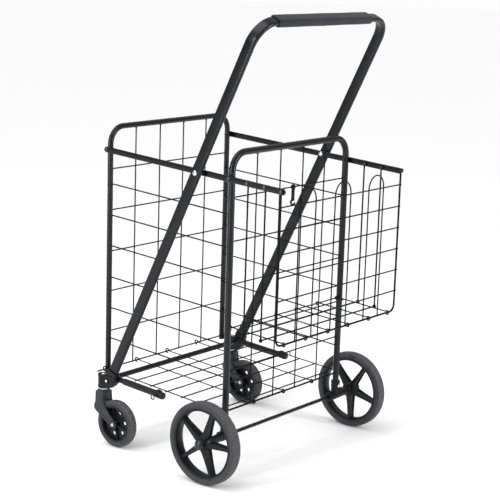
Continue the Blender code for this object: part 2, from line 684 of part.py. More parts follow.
def main_floor():
    """Basket floor: five long wires hooked on the frames' bottom wires, and cross wires under them."""
    front, rear = (FRONT_Y, FRONT_BOTTOM_Z + LOOP_RISE), (REAR_Y, REAR_BOTTOM_Z)
    long_wires = [hooked_wire(x, front, rear, 0.0047, 0.0041, 4, 20) for x in FLOOR_X]
    cross = []
    for behind in FLOOR_CROSS:
        reach = FLOOR_EDGE if behind < 0.30 else REAR_POST_X - REAR_TUBE_R - 0.0015
        y, z = FRONT_Y + behind, floor_edge_z(behind) - 0.0006
        cross.append(wire([(-reach, y, z), (reach, y, z)], WIRE_R, side_hint=(0, 0, 1)))
    return union(joined(long_wires), joined(cross))


def basket_line_z(reach):
    """Height of the line through the small basket floor's pivots."""
    return BASKET_ROW_Z - ARM_SLOPE * reach


def basket_floor():
    """Small basket's floor: six long wires hooked on the rear mesh and on the panel, and cross wires."""
    rear, panel = (REAR_Y, BASKET_ROW_Z), (REAR_Y + PANEL_REACH, basket_line_z(PANEL_REACH))
    long_wires = [hooked_wire(x, rear, panel, 0.0036, 0.0042, 33, 33) for x in BASKET_X]
    cross = []
    for reach, half, radius in ((0.0180, 0.1925, WIRE_R), (ROD_REACH[0], 0.2118, RIM_WIRE_R),
                                (ROD_REACH[1], 0.2118, RIM_WIRE_R)):
        y, z = REAR_Y + reach, basket_line_z(reach)
        cross.append(wire([(-half, y, z), (half, y, z)], radius, side_hint=(0, 0, 1)))
    return union(joined(long_wires), joined(cross))


def eye(x, y, z, bore_r, thick, outer_r=0.0052):
    """Flattened eye across X, as (disc, hole)."""
    disc = pin((x - thick / 2, y, z), (x + thick / 2, y, z), outer_r, 12)
    hole = pin((x - 0.01, y, z), (x + 0.01, y, z), bore_r, 10)
    return disc, hole


def basket_rod(side, reach):
    """Rod that hangs from an arm and carries the end of a floor cross wire."""
    x, y = side * ROD_X, REAR_Y + reach
    top_z, foot_z = arm_z(reach), basket_line_z(reach)
    top_disc, top_hole = eye(x, y, top_z, ROD_PIN_R + GAP, 0.0030)
    foot_disc, foot_hole = eye(x, y, foot_z, RIM_WIRE_R + GAP, 0.0030, 0.0042)
    rod = wire([(x, y, top_z - 0.0036), (x, y, foot_z + 0.0028)], ROD_R, 8)
    return cut(union(rod, top_disc, foot_disc), top_hole, foot_hole)


def basket_panel():
    """Outer side of the small basket: U rim hung from the arms, level wires and three arches."""
    y = REAR_Y + PANEL_REACH
    top_z = arm_z(PANEL_REACH)
    bottom_z = basket_line_z(PANEL_REACH)
    x = PANEL_X
    corners = [(-x, y, top_z - 0.0036), (-x, y, bottom_z), (x, y, bottom_z), (x, y, top_z - 0.0036)]
    rim = wire(rounded_path(corners, 0.016, 3), PANEL_WIRE_R, 8, (0, 1, 0))
    tip = PANEL_X + 0.0035
    level = joined([wire([(-tip, y, z), (tip, y, z)], side_hint=(0, 0, 1)) for z in PANEL_ROWS])
    arches = []
    for centre in ARCH_X:
        spring_z = PANEL_ROWS[0] + 0.002
        arc = [(centre + ARCH_HALF * math.cos(a), y, spring_z + ARCH_HALF * math.sin(a))
               for a in [math.pi * k / 7 for k in range(8)]]
        feet = [(centre + s * ARCH_HALF, y, bottom_z) for s in (1, -1)]
        arches.append(wire([feet[0], *arc, feet[1]], side_hint=(0, 1, 0)))
    panel = union(rim, level, joined(arches))
    for side in (-1, 1):
        disc, hole = eye(side * x, y, top_z, ROD_PIN_R + GAP, 0.0030)
        panel = cut(union(panel, disc), hole)
    return panel


def fold_clip():
    """Small bar hung on the rear mesh's top wire: closed eye at the top, open hook at the foot."""
    x = -0.0085
    z = REAR_ROWS[0]
    bore = WIRE_R + 2 * GAP
    top = lathe([(-0.0018, bore), (0.0018, bore), (0.0018, 0.0058), (-0.0018, 0.0058)], (x, REAR_Y, z), 16)
    ends = [(x, REAR_Y, z - 0.0046), (x, REAR_Y, z - 0.0300)]
    bar = sweep(ends, box_section(0.0034, 0.0078, 0.0012), (1, 0, 0))
    hook = wire(hook_arc(x, REAR_Y, z - 0.0345, 0.0052, 90, 90 + 285, 10), 0.0017, 6)
    return union(bar, top, hook)


# ---------------------------------------------------------------- assembly
def build():
    clear_scene()
    black_steel = make_material("black_steel", (0.030, 0.030, 0.034), 0.42, 0.3)
    dark_plastic = make_material("dark_plastic", (0.035, 0.035, 0.038), 0.5, 0.0)
    fork_plastic = make_material("fork_plastic", (0.075, 0.075, 0.085), 0.45, 0.0)
    tyre_rubber = make_material("tyre_rubber", (0.085, 0.085, 0.09), 0.75, 0.0)
    grip_foam = make_material("grip_foam", (0.06, 0.06, 0.068), 0.85, 0.0)
    zinc = make_material("zinc", (0.75, 0.75, 0.77), 0.3, 1.0)

    def rear_line(z):
        return (0, REAR_Y, z)

    arms_joint = add_joint("joint_arms", rear_line(ARM_PIVOT_Z))
    front_joint = add_joint("joint_front_frame", (0, FRONT_Y, arm_z(-FRAME_DEPTH)), arms_joint)
    handle_joint = add_joint("joint_handle", (0, REAR_Y - HANDLE_PIVOT, arm_z(-HANDLE_PIVOT)), arms_joint)
    floor_joint = add_joint("joint_main_floor", rear_line(REAR_BOTTOM_Z))
    panel_joint = add_joint("joint_basket_panel", (0, REAR_Y + PANEL_REACH, arm_z(PANEL_REACH)), arms_joint)
    basket_joint = add_joint("joint_basket_floor", rear_line(BASKET_ROW_Z))
    clip_joint = add_joint("joint_fold_clip", rear_line(REAR_ROWS[0]))

    add_part("rear_frame", rear_frame(), black_steel)
    add_part("rear_mesh", mesh_panel(REAR_Y, REAR_POST_X - REAR_TUBE_R, REAR_ROWS, REAR_TOP_Z - REAR_TUBE_R,
                                     REAR_BOTTOM_Z, THICK_WIRE_R, REAR_BOTTOM_TIP_X), black_steel)
    add_part("rear_axle", rear_axle(), black_steel)
    add_part("fold_clip", fold_clip(), dark_plastic, clip_joint)
    add_part("front_frame", front_frame(), black_steel, front_joint)
    add_part("front_mesh", mesh_panel(FRONT_Y, FRONT_POST_X - FRONT_TUBE_R, FRONT_ROWS,
                                      FRONT_TOP_Z - FRONT_TUBE_R, FRONT_BOTTOM_Z, RIM_WIRE_R,
                                      FRONT_BOTTOM_TIP_X), black_steel, front_joint)
    add_part("main_floor", main_floor(), black_steel, floor_joint)
    add_part("handle", handle_tube(), black_steel, handle_joint)
    add_part("handle_grip", handle_grip(), grip_foam, handle_joint)
    add_part("base_tube", base_tube(), black_steel, handle_joint)
    add_part("basket_panel", basket_panel(), black_steel, panel_joint)
    add_part("basket_floor", basket_floor(), black_steel, basket_joint)

    for row, front_z in enumerate(SIDE_WIRE_Z, start=1):
        joint = add_joint(f"joint_side_wires_{row}", rear_line(front_z - LINK_DROP))
        for name, side in SIDES.items():
            add_part(f"side_wire_{name}_{row}", side_wire(side, front_z), black_steel, joint)

    for row, reach in enumerate(ROD_REACH, start=1):
        joint = add_joint(f"joint_basket_rods_{row}", (0, REAR_Y + reach, arm_z(reach)), arms_joint)
        for name, side in SIDES.items():
            add_part(f"basket_rod_{name}_{row}", basket_rod(side, reach), black_steel, joint)

    for name, side in SIDES.items():
        add_part(f"side_arm_{name}", side_arm(side), black_steel, arms_joint)
        add_part(f"arm_rivet_{name}", pivot_rivet(side, 0.0, REAR_POST_X - 0.009,
                                                  ARM_INNER_X + ARM_THICK, 0.0050), black_steel)
        add_part(f"handle_rivet_{name}", pivot_rivet(side, -HANDLE_PIVOT, ARM_INNER_X - 0.0020,
                                                     HANDLE_X + HANDLE_THICK / 2, 0.0062), zinc, handle_joint)
        add_part(f"end_clip_{name}", end_clip(side), dark_plastic, handle_joint)
        latch_point = (side * (BASE_INNER_X + CLIP_WIDE), FRONT_Y + LATCH_BEHIND, base_axis_z(LATCH_BEHIND))
        latch_joint = add_joint(f"joint_latch_{name}", latch_point, handle_joint)
        add_part(f"latch_hook_{name}", latch_hook(side, LATCH_ANGLE[name]), black_steel, latch_joint)

        add_part(f"caster_bracket_{name}", caster_bracket(side), dark_plastic, handle_joint)
        add_part(f"kingpin_{name}", kingpin(side), zinc, handle_joint)
        swivel = add_joint(f"joint_swivel_{name}", (side * HANDLE_X, KINGPIN_Y, CROWN_TOP_Z), handle_joint)
        add_part(f"caster_fork_{name}", caster_fork(side), fork_plastic, swivel)
        add_part(f"caster_axle_{name}", caster_axle(side), zinc, swivel)
        wheel_middle = (side * HANDLE_X, KINGPIN_Y + CASTER_TRAIL, CASTER_R)
        spin = add_joint(f"joint_caster_{name}", wheel_middle, swivel)
        add_part(f"caster_tyre_{name}", caster_tyre(side), tyre_rubber, spin)
        add_part(f"caster_hub_{name}", caster_hub(side), dark_plastic, spin)

        add_part(f"axle_bracket_{name}", axle_bracket(side), dark_plastic)
        wheel = add_joint(f"joint_rear_wheel_{name}", (side * REAR_WHEEL_X, REAR_Y, AXLE_Z))
        add_part(f"rear_tyre_{name}", rear_tyre(side), tyre_rubber, wheel)
        add_part(f"rear_hub_{name}", rear_hub(side), dark_plastic, wheel)
        add_part(f"hub_cap_{name}", hub_cap(side), dark_plastic, wheel)


build()
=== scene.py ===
"""Looks of the folding shopping trolley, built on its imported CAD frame. Metres, +Z up, -Y is the front."""
import math

import bmesh
import bpy
from mathutils import Matrix, Vector


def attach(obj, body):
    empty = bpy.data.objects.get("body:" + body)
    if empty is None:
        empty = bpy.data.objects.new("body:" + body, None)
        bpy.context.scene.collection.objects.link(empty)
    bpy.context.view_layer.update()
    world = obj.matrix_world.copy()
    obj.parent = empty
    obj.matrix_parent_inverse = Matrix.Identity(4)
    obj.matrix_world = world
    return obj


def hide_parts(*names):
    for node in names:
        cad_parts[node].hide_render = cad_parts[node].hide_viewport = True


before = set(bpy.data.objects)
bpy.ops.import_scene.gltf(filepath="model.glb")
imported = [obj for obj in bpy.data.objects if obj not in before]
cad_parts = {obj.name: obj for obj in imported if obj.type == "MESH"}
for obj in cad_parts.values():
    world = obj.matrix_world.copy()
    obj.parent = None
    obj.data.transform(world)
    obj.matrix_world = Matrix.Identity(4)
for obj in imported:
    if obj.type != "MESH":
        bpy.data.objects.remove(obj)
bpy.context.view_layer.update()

# ---------------------------------------------------------------- the CAD model's own dimensions
FRONT_Y = -0.24425
DEPTH = 0.348
REAR_Y = FRONT_Y + DEPTH
DROP = 0.022
SLOPE = DROP / DEPTH
FRONT_X, FRONT_R, FRONT_TOP, FRONT_FOOT, FRONT_BEND = 0.200, 0.00625, 0.714, 0.157, 0.038
REAR_X, REAR_R, REAR_TOP, REAR_FOOT, REAR_BEND = 0.2015, 0.0072, 0.696, 0.1035, 0.040
WIRE_R, RIM_R, THICK_R = 0.0015, 0.0017, 0.0021
MESH_X = (-0.12, -0.04, 0.04, 0.12)
FRONT_ROWS = (0.6215, 0.5295, 0.4360, 0.3450, 0.2525)
REAR_ROWS = (0.6035, 0.5105, 0.4185, 0.3245, 0.2315)
FRONT_BOTTOM = 0.1655
REAR_BOTTOM = FRONT_BOTTOM - DROP
SIDE_ROWS = (0.5870, 0.5165, 0.4470, 0.3755, 0.3050, 0.2345)
SIDE_X = 0.1908
ARM_Z = 0.6440
ARM_X, ARM_THICK, ARM_HIGH = 0.2098, 0.0044, 0.0130
HANDLE_BACK = 0.076
ROD_REACH = (0.0480, 0.0935)
PANEL_REACH = 0.1395
HANDLE_X, HANDLE_WIDE, HANDLE_THICK = 0.2255, 0.0250, 0.0105
LEAN = math.radians(25.65)
HANDLE_TOP, HANDLE_FOOT, HANDLE_BEND = 0.9675, 0.1650, 0.052
GRIP_HALF, GRIP_SHIFT = 0.163, 0.012
BASE_X, BASE_IN, BASE_R, BASE_END = 0.2186, 0.2124, 0.0060, 0.183
BASE_Y = FRONT_Y + 0.035
BASE_DROP = 0.0086
CLIP_LONG, CLIP_WIDE = 0.022, 0.0150
LATCH_BACK, LATCH_SIZE = 0.1760, 0.0160
LATCH_TURN = {-1: math.radians(8), 1: math.radians(-172)}
KINGPIN_Y, TRAIL, CASTER_R = FRONT_Y + 0.012, 0.043, 0.0535
FORK_IN, FORK_PLATE, CROWN_TOP, BRACKET_FOOT = 0.0125, 0.0030, 0.1255, 0.1300
WHEEL_R, WHEEL_X, AXLE_R = 0.0895, 0.2665, 0.0040
FLOOR_X = (-0.2103, -0.1055, 0.0, 0.1055, 0.2103)
LOOP_RISE = 0.0011
FLOOR_CROSS = (0.0950, 0.1405, 0.1860, 0.2315, 0.2770, 0.3290)
BASKET_X = (-0.1905, -0.1160, -0.0366, 0.0366, 0.1160, 0.1905)
PANEL_X, PANEL_R = 0.2169, 0.0022
PANEL_ROWS = (0.6040, 0.5555, 0.5070, 0.4590, 0.4105, 0.3625)
ARCH_X, ARCH_HALF = (-0.124, 0.0, 0.124), 0.028
ROD_X, ROD_R = 0.2077, 0.0018
SIDES = {"left": -1, "right": 1}

# sizes that only the looks use
TUBE_WALL = 0.0012
WIRE_END = 0.0008
WELD_R, SPOT_R, FLOOR_SPOT_R, PANEL_WELD_R = 0.0024, 0.0016, 0.0017, 0.0026
PIN_R, BASKET_PIN_R, LATCH_WIRE_R = 0.0026, 0.0021, 0.0012
SHARP_ANGLE = math.radians(35)
ROUGH_SPREAD = 0.10

# studio and camera
STUDIO_R, STUDIO_SIDES, BACKDROP_GLOW = 25.0, 96, 0.98
SUN_ENERGY, SUN_ANGLE, SUN_DIRECTION = 1.45, math.radians(50), (-0.35, 0.25, -1)
STRIPS = (("strip_left", (2.7, -0.4, 1.1), 0.20, 1.9, 46), ("strip_right", (-0.6, 2.6, 1.1), 0.18, 1.9, 40))
STRIP_TARGET = (0, 0, 0.5)
CAMERA_PLACE = (2.4931, 2.2253 + FRONT_Y, 1.1201)
CAMERA_AZIMUTH, CAMERA_ELEVATION, CAMERA_ROLL = (math.radians(a) for a in (128.522, 11.911, -1.8354))
CAMERA_LENS = 105.12


def arm_z(reach):
    return ARM_Z - SLOPE * reach


def edge_z(behind):
    return FRONT_BOTTOM - SLOPE * behind


def base_z(behind):
    return edge_z(behind) - BASE_DROP


def basket_z(reach):
    return REAR_ROWS[3] - SLOPE * reach


def leg_point(z):
    return REAR_Y - HANDLE_BACK + (z - arm_z(-HANDLE_BACK)) * math.tan(LEAN), z


# ---------------------------------------------------------------- materials
def node(tree, kind, **inputs):
    made = tree.nodes.new(kind)
    for key, value in inputs.items():
        if isinstance(value, bpy.types.NodeSocket):
            tree.links.new(value, made.inputs[key.replace("_", " ")])
        else:
            made.inputs[key.replace("_", " ")].default_value = value
    return made


def noise(tree, place, scale, detail=4.0):
    made = node(tree, "ShaderNodeTexNoise", Vector=place, Scale=scale, Detail=detail, Roughness=0.55)
    return made.outputs["Fac"]


def ramp(tree, value, low, high, out_low, out_high):
    made = node(tree, "ShaderNodeMapRange", Value=value)
    for key, number in zip(("From Min", "From Max", "To Min", "To Max"), (low, high, out_low, out_high)):
        made.inputs[key].default_value = number
    return made.outputs["Result"]


def blend_colour(tree, factor, colour_a, colour_b):
    made = tree.nodes.new("ShaderNodeMix")
    made.data_type = "RGBA"
    tree.links.new(factor, made.inputs["Factor"])
    for socket, colour in (("A", colour_a), ("B", colour_b)):
        found = [s for s in made.inputs if s.name == socket and s.type == "RGBA"][0]
        if isinstance(colour, bpy.types.NodeSocket):
            tree.links.new(colour, found)
        else:
            found.default_value = (*colour, 1)
    return [s for s in made.outputs if s.type == "RGBA"][0]


def material(name, dark, light, rough, grain, depth, metallic=0.0, coat=0.0, patch=14.0, painted_edge_highlight=None,
             specular=0.5, tint=(0.84, 0.87, 1.0)):
    """Procedural finish: tone and roughness drift over a fine grain, and an optional edge colour paints a
    highlight along sharp edges.
    """
    made = bpy.data.materials.new(name)
    made.use_nodes = True
    tree = made.node_tree
    shader = tree.nodes["Principled BSDF"]
    place = node(tree, "ShaderNodeTexCoord").outputs["Object"]
    colour = blend_colour(tree, ramp(tree, noise(tree, place, patch), 0.3, 0.7, 0, 1), dark, light)
    # painted highlight: a lighter colour on sharp, pointy edges stands in for light catching the edges
    if painted_edge_highlight:
        edge = tree.nodes.new("ShaderNodeNewGeometry").outputs["Pointiness"]
        edge_highlight_mask = node(tree, "ShaderNodeMath", Value=ramp(tree, edge, 0.56, 0.66, 0, 0.55))
        edge_highlight_mask.operation = "MULTIPLY"
        tree.links.new(ramp(tree, noise(tree, place, 160), 0.4, 0.65, 0, 1), edge_highlight_mask.inputs[1])
        colour = blend_colour(tree, edge_highlight_mask.outputs[0], colour, painted_edge_highlight)
    tree.links.new(colour, shader.inputs["Base Color"])
    low, high = rough - ROUGH_SPREAD / 2, rough + ROUGH_SPREAD / 2
    tree.links.new(ramp(tree, noise(tree, place, patch * 5), 0.3, 0.7, low, high), shader.inputs["Roughness"])
    shader.inputs["Metallic"].default_value = metallic
    shader.inputs["Specular IOR Level"].default_value = specular
    shader.inputs["Specular Tint"].default_value = (*tint, 1)
    shader.inputs["Coat Weight"].default_value = coat
    shader.inputs["Coat Roughness"].default_value = 0.22
    bump = node(tree, "ShaderNodeBump", Height=noise(tree, place, grain, 3.0), Strength=0.6, Distance=depth)
    tree.links.new(bump.outputs["Normal"], shader.inputs["Normal"])
    return made


def foam_material():
    """Closed-cell foam: small open pores over a soft mottled skin."""
    made = material("grip_foam_skin", (0.009, 0.009, 0.012), (0.017, 0.017, 0.021), 0.75, 1500, 0.0003,
                    specular=0.3)
    tree = made.node_tree
    shader = tree.nodes["Principled BSDF"]
    place = node(tree, "ShaderNodeTexCoord").outputs["Object"]
    cells = node(tree, "ShaderNodeTexVoronoi", Vector=place, Scale=900.0).outputs["Distance"]
    bump = node(tree, "ShaderNodeBump", Height=cells, Strength=0.5, Distance=0.0004)
    tree.links.new(bump.outputs["Normal"], shader.inputs["Normal"])
    shader.inputs["Sheen Weight"].default_value = 0.12
    shader.inputs["Sheen Roughness"].default_value = 0.5
    return made


STEEL = material("powder_coated_steel", (0.0020, 0.0020, 0.0032), (0.0045, 0.0045, 0.0065), 0.27, 950,
                 0.00003, specular=0.24, coat=0.20)
WIRE = material("powder_coated_wire", (0.0015, 0.0015, 0.0024), (0.0030, 0.0030, 0.0042), 0.42, 1300, 0.00006,
                specular=0.10)
# moulded plastic: the lighter edge colour is a painted highlight along sharp edges
PLASTIC = material("moulded_plastic", (0.0025, 0.0025, 0.0034), (0.0055, 0.0055, 0.0070), 0.40, 1100, 0.00012,
                   specular=0.26, painted_edge_highlight=(0.035, 0.035, 0.040))
# fork plastic: the light edge colour paints a highlight along the ridges and edges
FORK = material("fork_plastic", (0.020, 0.020, 0.026), (0.030, 0.030, 0.037), 0.44, 1200, 0.00012,
                specular=0.32, painted_edge_highlight=(0.160, 0.160, 0.175))
RUBBER = material("tyre_rubber", (0.034, 0.034, 0.039), (0.048, 0.048, 0.054), 0.68, 700, 0.0003, patch=22,
                  specular=0.3)
TREAD = material("tyre_tread", (0.022, 0.022, 0.026), (0.120, 0.118, 0.124), 0.80, 420, 0.0009, patch=420,
                 specular=0.3)
ZINC = material("zinc_plate", (0.62, 0.62, 0.64), (0.80, 0.80, 0.80), 0.26, 500, 0.00006, metallic=1.0,
                patch=90, tint=(1, 1, 1))
BLACK_OXIDE = material("black_oxide", (0.030, 0.030, 0.034), (0.060, 0.060, 0.066), 0.22, 700, 0.00006,
                       metallic=0.6, patch=120)
# hub cap: the light edge colour paints a highlight on the rim edges
CAP = material("satin_cap", (0.012, 0.012, 0.015), (0.022, 0.022, 0.027), 0.24, 1200, 0.00006, specular=0.5,
               painted_edge_highlight=(0.120, 0.120, 0.135))
FOAM = foam_material()


# ---------------------------------------------------------------- mesh building
def circle(radius, sides=14):
    return [(radius * math.cos(math.tau * (k + 0.5) / sides), radius * math.sin(math.tau * (k + 0.5) / sides))
            for k in range(sides)]


def rounded_box(width, height, corner, steps=5):
    points = []
    for quarter, (sx, sy) in enumerate(((1, 1), (-1, 1), (-1, -1), (1, -1))):
        for k in range(steps):
            angle = (quarter + k / (steps - 1)) * math.pi / 2
            points.append((sx * (width / 2 - corner) + corner * math.cos(angle),
                           sy * (height / 2 - corner) + corner * math.sin(angle)))
    return points


def bent(corners, bend, steps=10):
    """Straight runs joined by arcs."""
    corners = [Vector(c) for c in corners]
    points = [corners[0]]
    for before, corner, after in zip(corners, corners[1:], corners[2:]):
        to_before, to_after = (before - corner).normalized(), (after - corner).normalized()
        half = to_before.angle(to_after) / 2
        run = min(bend / math.tan(half), 0.48 * min((before - corner).length, (after - corner).length))
        radius = run * math.tan(half)
        centre = corner + (to_before + to_after).normalized() * (radius / math.sin(half))
        first = corner + to_before * run - centre
        normal = first.cross(corner + to_after * run - centre).normalized()
        for k in range(steps + 1):
            points.append(centre + Matrix.Rotation((math.pi - 2 * half) * k / steps, 3, normal) @ first)
    points.append(corners[-1])
    return points


def ring(bm, centre, side, up, section):
    return [bm.verts.new(centre + side * u + up * v) for u, v in section]


def bridge(bm, ring_a, ring_b):
    count = len(ring_a)
    for k in range(count):
        bm.faces.new((ring_a[k], ring_a[(k + 1) % count], ring_b[(k + 1) % count], ring_b[k]))


def loft(bm, rings):
    """Skin the rings in turn and close both ends."""
    for ring_a, ring_b in zip(rings, rings[1:]):
        bridge(bm, ring_a, ring_b)
    bm.faces.new(rings[0])
    bm.faces.new(rings[-1])


def sweep(bm, path, sections, hint=(1, 0, 0), bore=None, rounded=0.0):
    """Carry a section, or one section for each point, along a path. rounded domes both ends of a wire."""
    path = [Vector(p) for p in path]
    if not isinstance(sections[0], list):
        sections = [sections] * len(path)
    side = Vector(hint)
    rings, inner = [], []
    for k, point in enumerate(path):
        ahead = path[min(k + 1, len(path) - 1)] - point
        behind = point - path[max(k - 1, 0)]
        tangent = (ahead.normalized() + behind.normalized()).normalized()
        side = (side - tangent * side.dot(tangent)).normalized()
        up = tangent.cross(side)
        if rounded and k == 0:
            rings.append(ring(bm, point, side, up, [(u * 0.6, v * 0.6) for u, v in sections[0]]))
            point = point + tangent * rounded * 0.6
        if rounded and k == len(path) - 1:
            rings.append(ring(bm, point - tangent * rounded * 0.6, side, up, sections[-1]))
            rings.append(ring(bm, point, side, up, [(u * 0.6, v * 0.6) for u, v in sections[-1]]))
            continue
        rings.append(ring(bm, point, side, up, sections[k]))
        if bore:
            inner.append(ring(bm, point, side, up, bore))
    for stack in (rings, inner):
        for ring_a, ring_b in zip(stack, stack[1:]):
            bridge(bm, ring_a, ring_b)
    for end in (0, -1):
        if bore:
            bridge(bm, rings[end], inner[end])
        else:
            bm.faces.new(rings[end])


def rod(bm, start, end, radius, sides=14, rounded=0.0):
    direction = Vector(end) - Vector(start)
    hint = (0, 0, 1) if abs(direction.z) < 0.5 * direction.length else (1, 0, 0)
    sweep(bm, [start, end], circle(radius, sides), hint, rounded=rounded)


def turned(bm, profile, centre, axis="X", sides=64, index=None):
    """Turn a closed outline of (along, radius) points about an axis through centre."""
    centre = Vector(centre)
    axes = {"X": ((1, 0, 0), (0, 1, 0), (0, 0, 1)), "Z": ((0, 0, 1), (1, 0, 0), (0, 1, 0))}
    along, first, second = (Vector(direction) for direction in axes[axis])
    rings = []
    for k in range(sides):
        out = first * math.cos(math.tau * k / sides) + second * math.sin(math.tau * k / sides)
        rings.append([bm.verts.new(centre + along * a + out * r) for a, r in profile])
    for ring_a, ring_b in zip(rings, rings[1:] + rings[:1]):
        count = len(ring_a)
        for k in range(count):
            face = bm.faces.new((ring_a[k], ring_a[(k + 1) % count], ring_b[(k + 1) % count], ring_b[k]))
            face.material_index = index(k) if index else 0


def slab(bm, outline, x_from, x_to, bevel=0.0, steps=3):
    """Outline of (y, z) points carried along X, its edges rounded."""
    rings = [[bm.verts.new((x, y, z)) for y, z in outline] for x in (x_from, x_to)]
    before = set(bm.edges)
    bridge(bm, rings[0], rings[1])
    for loop in rings:
        bm.faces.new(loop)
    if bevel:
        edges = [e for e in bm.edges if e not in before]
        bmesh.ops.bevel(bm, geom=edges, offset=bevel, segments=steps, profile=0.5, affect="EDGES",
                        clamp_overlap=True)


def dome(bm, centre, direction, radius, height, sides=24):
    """Round rivet or bolt head standing on a surface."""
    centre, direction = Vector(centre), Vector(direction).normalized()
    first = direction.orthogonal().normalized()
    second = direction.cross(first)
    rings = []
    for rise, wide in ((-0.15, 1.0), (0.12, 1.0), (0.45, 0.93), (0.75, 0.74), (0.93, 0.45), (1.0, 0.12)):
        section = circle(radius * wide, sides)
        rings.append(ring(bm, centre + direction * rise * height, first, second, section))
    loft(bm, rings)


def bead(bm, centre, radius, squash=(1, 1, 1)):
    """Small weld bead."""
    place = Matrix.Translation(Vector(centre)) @ Matrix.Diagonal((*squash, 1))
    bmesh.ops.create_icosphere(bm, subdivisions=2, radius=radius, matrix=place)


def piece(name, bm, body, finish, *nodes):
    """Make an object of the mesh, give it its finish and let it ride on its body in place of CAD nodes."""
    finish = finish if isinstance(finish, tuple) else (finish,)
    bmesh.ops.recalc_face_normals(bm, faces=bm.faces)
    mesh = bpy.data.meshes.new(name)
    bm.to_mesh(mesh)
    bm.free()
    for entry in finish:
        mesh.materials.append(entry)
    mesh.shade_smooth()
    mesh.set_sharp_from_angle(angle=SHARP_ANGLE)
    made = bpy.data.objects.new(name, mesh)
    bpy.context.scene.collection.objects.link(made)
    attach(made, body)
    if nodes:
        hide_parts(*nodes)


def cut(bm, cutter):
    """Return the solid in bm less the solid in cutter."""
    pair = []
    for solid in (bm, cutter):
        bmesh.ops.recalc_face_normals(solid, faces=solid.faces)
        mesh = bpy.data.meshes.new("cut")
        solid.to_mesh(mesh)
        solid.free()
        pair.append(bpy.data.objects.new("cut", mesh))
        bpy.context.scene.collection.objects.link(pair[-1])
    modifier = pair[0].modifiers.new("cut", "BOOLEAN")
    modifier.operation = "DIFFERENCE"
    modifier.solver = "EXACT"
    modifier.object = pair[1]
    bpy.context.view_layer.update()
    result = bpy.data.meshes.new_from_object(pair[0].evaluated_get(bpy.context.evaluated_depsgraph_get()))
    for made in pair:
        bpy.data.objects.remove(made)
    left = bmesh.new()
    left.from_mesh(result)
    bpy.data.meshes.remove(result)
    return left


# ---------------------------------------------------------------- frames, meshes and side wires
def frame_tube(name, half, y, foot, top, bend, radius, pin_z):
    """Inverted U with a small pin head inside each post where the side arm is pinned."""
    bm = bmesh.new()
    corners = [(-half, y, foot), (-half, y, top), (half, y, top), (half, y, foot)]
    sweep(bm, bent(corners, bend, 16), circle(radius, 28), (0, 1, 0), circle(radius - TUBE_WALL, 28))
    for side in (-1, 1):
        dome(bm, (side * (half - radius + 0.0002), y, pin_z), (-side, 0, 0), 0.0030, 0.0008, 16)
    piece(name + "_tube", bm, name, STEEL, name)


def mesh_panel(name, body, y, inner, rows, top, bottom, bottom_r, tip):
    """Welded wires: uprights behind, level wires in front, a bead wherever wires meet."""
    bm = bmesh.new()
    for x in MESH_X:
        rod(bm, (x, y + 0.0007, bottom), (x, y + 0.0007, top), WIRE_R, 12)
        bead(bm, (x, y + 0.0005, top), WELD_R, (1.0, 1.2, 0.7))
    for z in rows:
        rod(bm, (-inner, y - 0.0007, z), (inner, y - 0.0007, z), WIRE_R, 12)
        for side in (-1, 1):
            bead(bm, (side * inner, y - 0.0005, z), WELD_R, (0.7, 1.2, 1.0))
        for x in MESH_X:
            bead(bm, (x, y, z), SPOT_R)
    rod(bm, (-tip, y, bottom), (tip, y, bottom), bottom_r, 14, bottom_r)
    for x in MESH_X:
        bead(bm, (x, y + 0.0005, bottom), WELD_R, (0.9, 0.9, 0.9))
    piece(name + "_wires", bm, body, WIRE, name)


def side_wire(name, side, body, front_z):
    inner = side * SIDE_X
    rear_z = front_z - DROP
    corners = [(side * (FRONT_X + FRONT_R + 0.0012), FRONT_Y, front_z), (inner, FRONT_Y, front_z),
               (inner, REAR_Y, rear_z), (side * (REAR_X + REAR_R + 0.0002), REAR_Y, rear_z)]
    bm = bmesh.new()
    sweep(bm, bent(corners, 0.0030, 6), circle(WIRE_R, 12), (0, 0, 1), rounded=WIRE_END)
    piece(name.replace("side_wire", "basket_side_wire"), bm, body, WIRE, name)


def build_frames():
    frame_tube("front_frame", FRONT_X, FRONT_Y, FRONT_FOOT, FRONT_TOP, FRONT_BEND, FRONT_R, arm_z(-DEPTH))
    frame_tube("rear_frame", REAR_X, REAR_Y, REAR_FOOT, REAR_TOP, REAR_BEND, REAR_R, ARM_Z)
    mesh_panel("front_mesh", "front_frame", FRONT_Y, FRONT_X - FRONT_R, FRONT_ROWS, FRONT_TOP - FRONT_R,
               FRONT_BOTTOM, RIM_R, 0.234)
    mesh_panel("rear_mesh", "rear_frame", REAR_Y, REAR_X - REAR_R, REAR_ROWS, REAR_TOP - REAR_R,
               REAR_BOTTOM, THICK_R, 0.2175)
    for row, front_z in enumerate(SIDE_ROWS, start=1):
        for word, side in SIDES.items():
            side_wire(f"side_wire_{word}_{row}", side, f"side_wires_{row}", front_z)


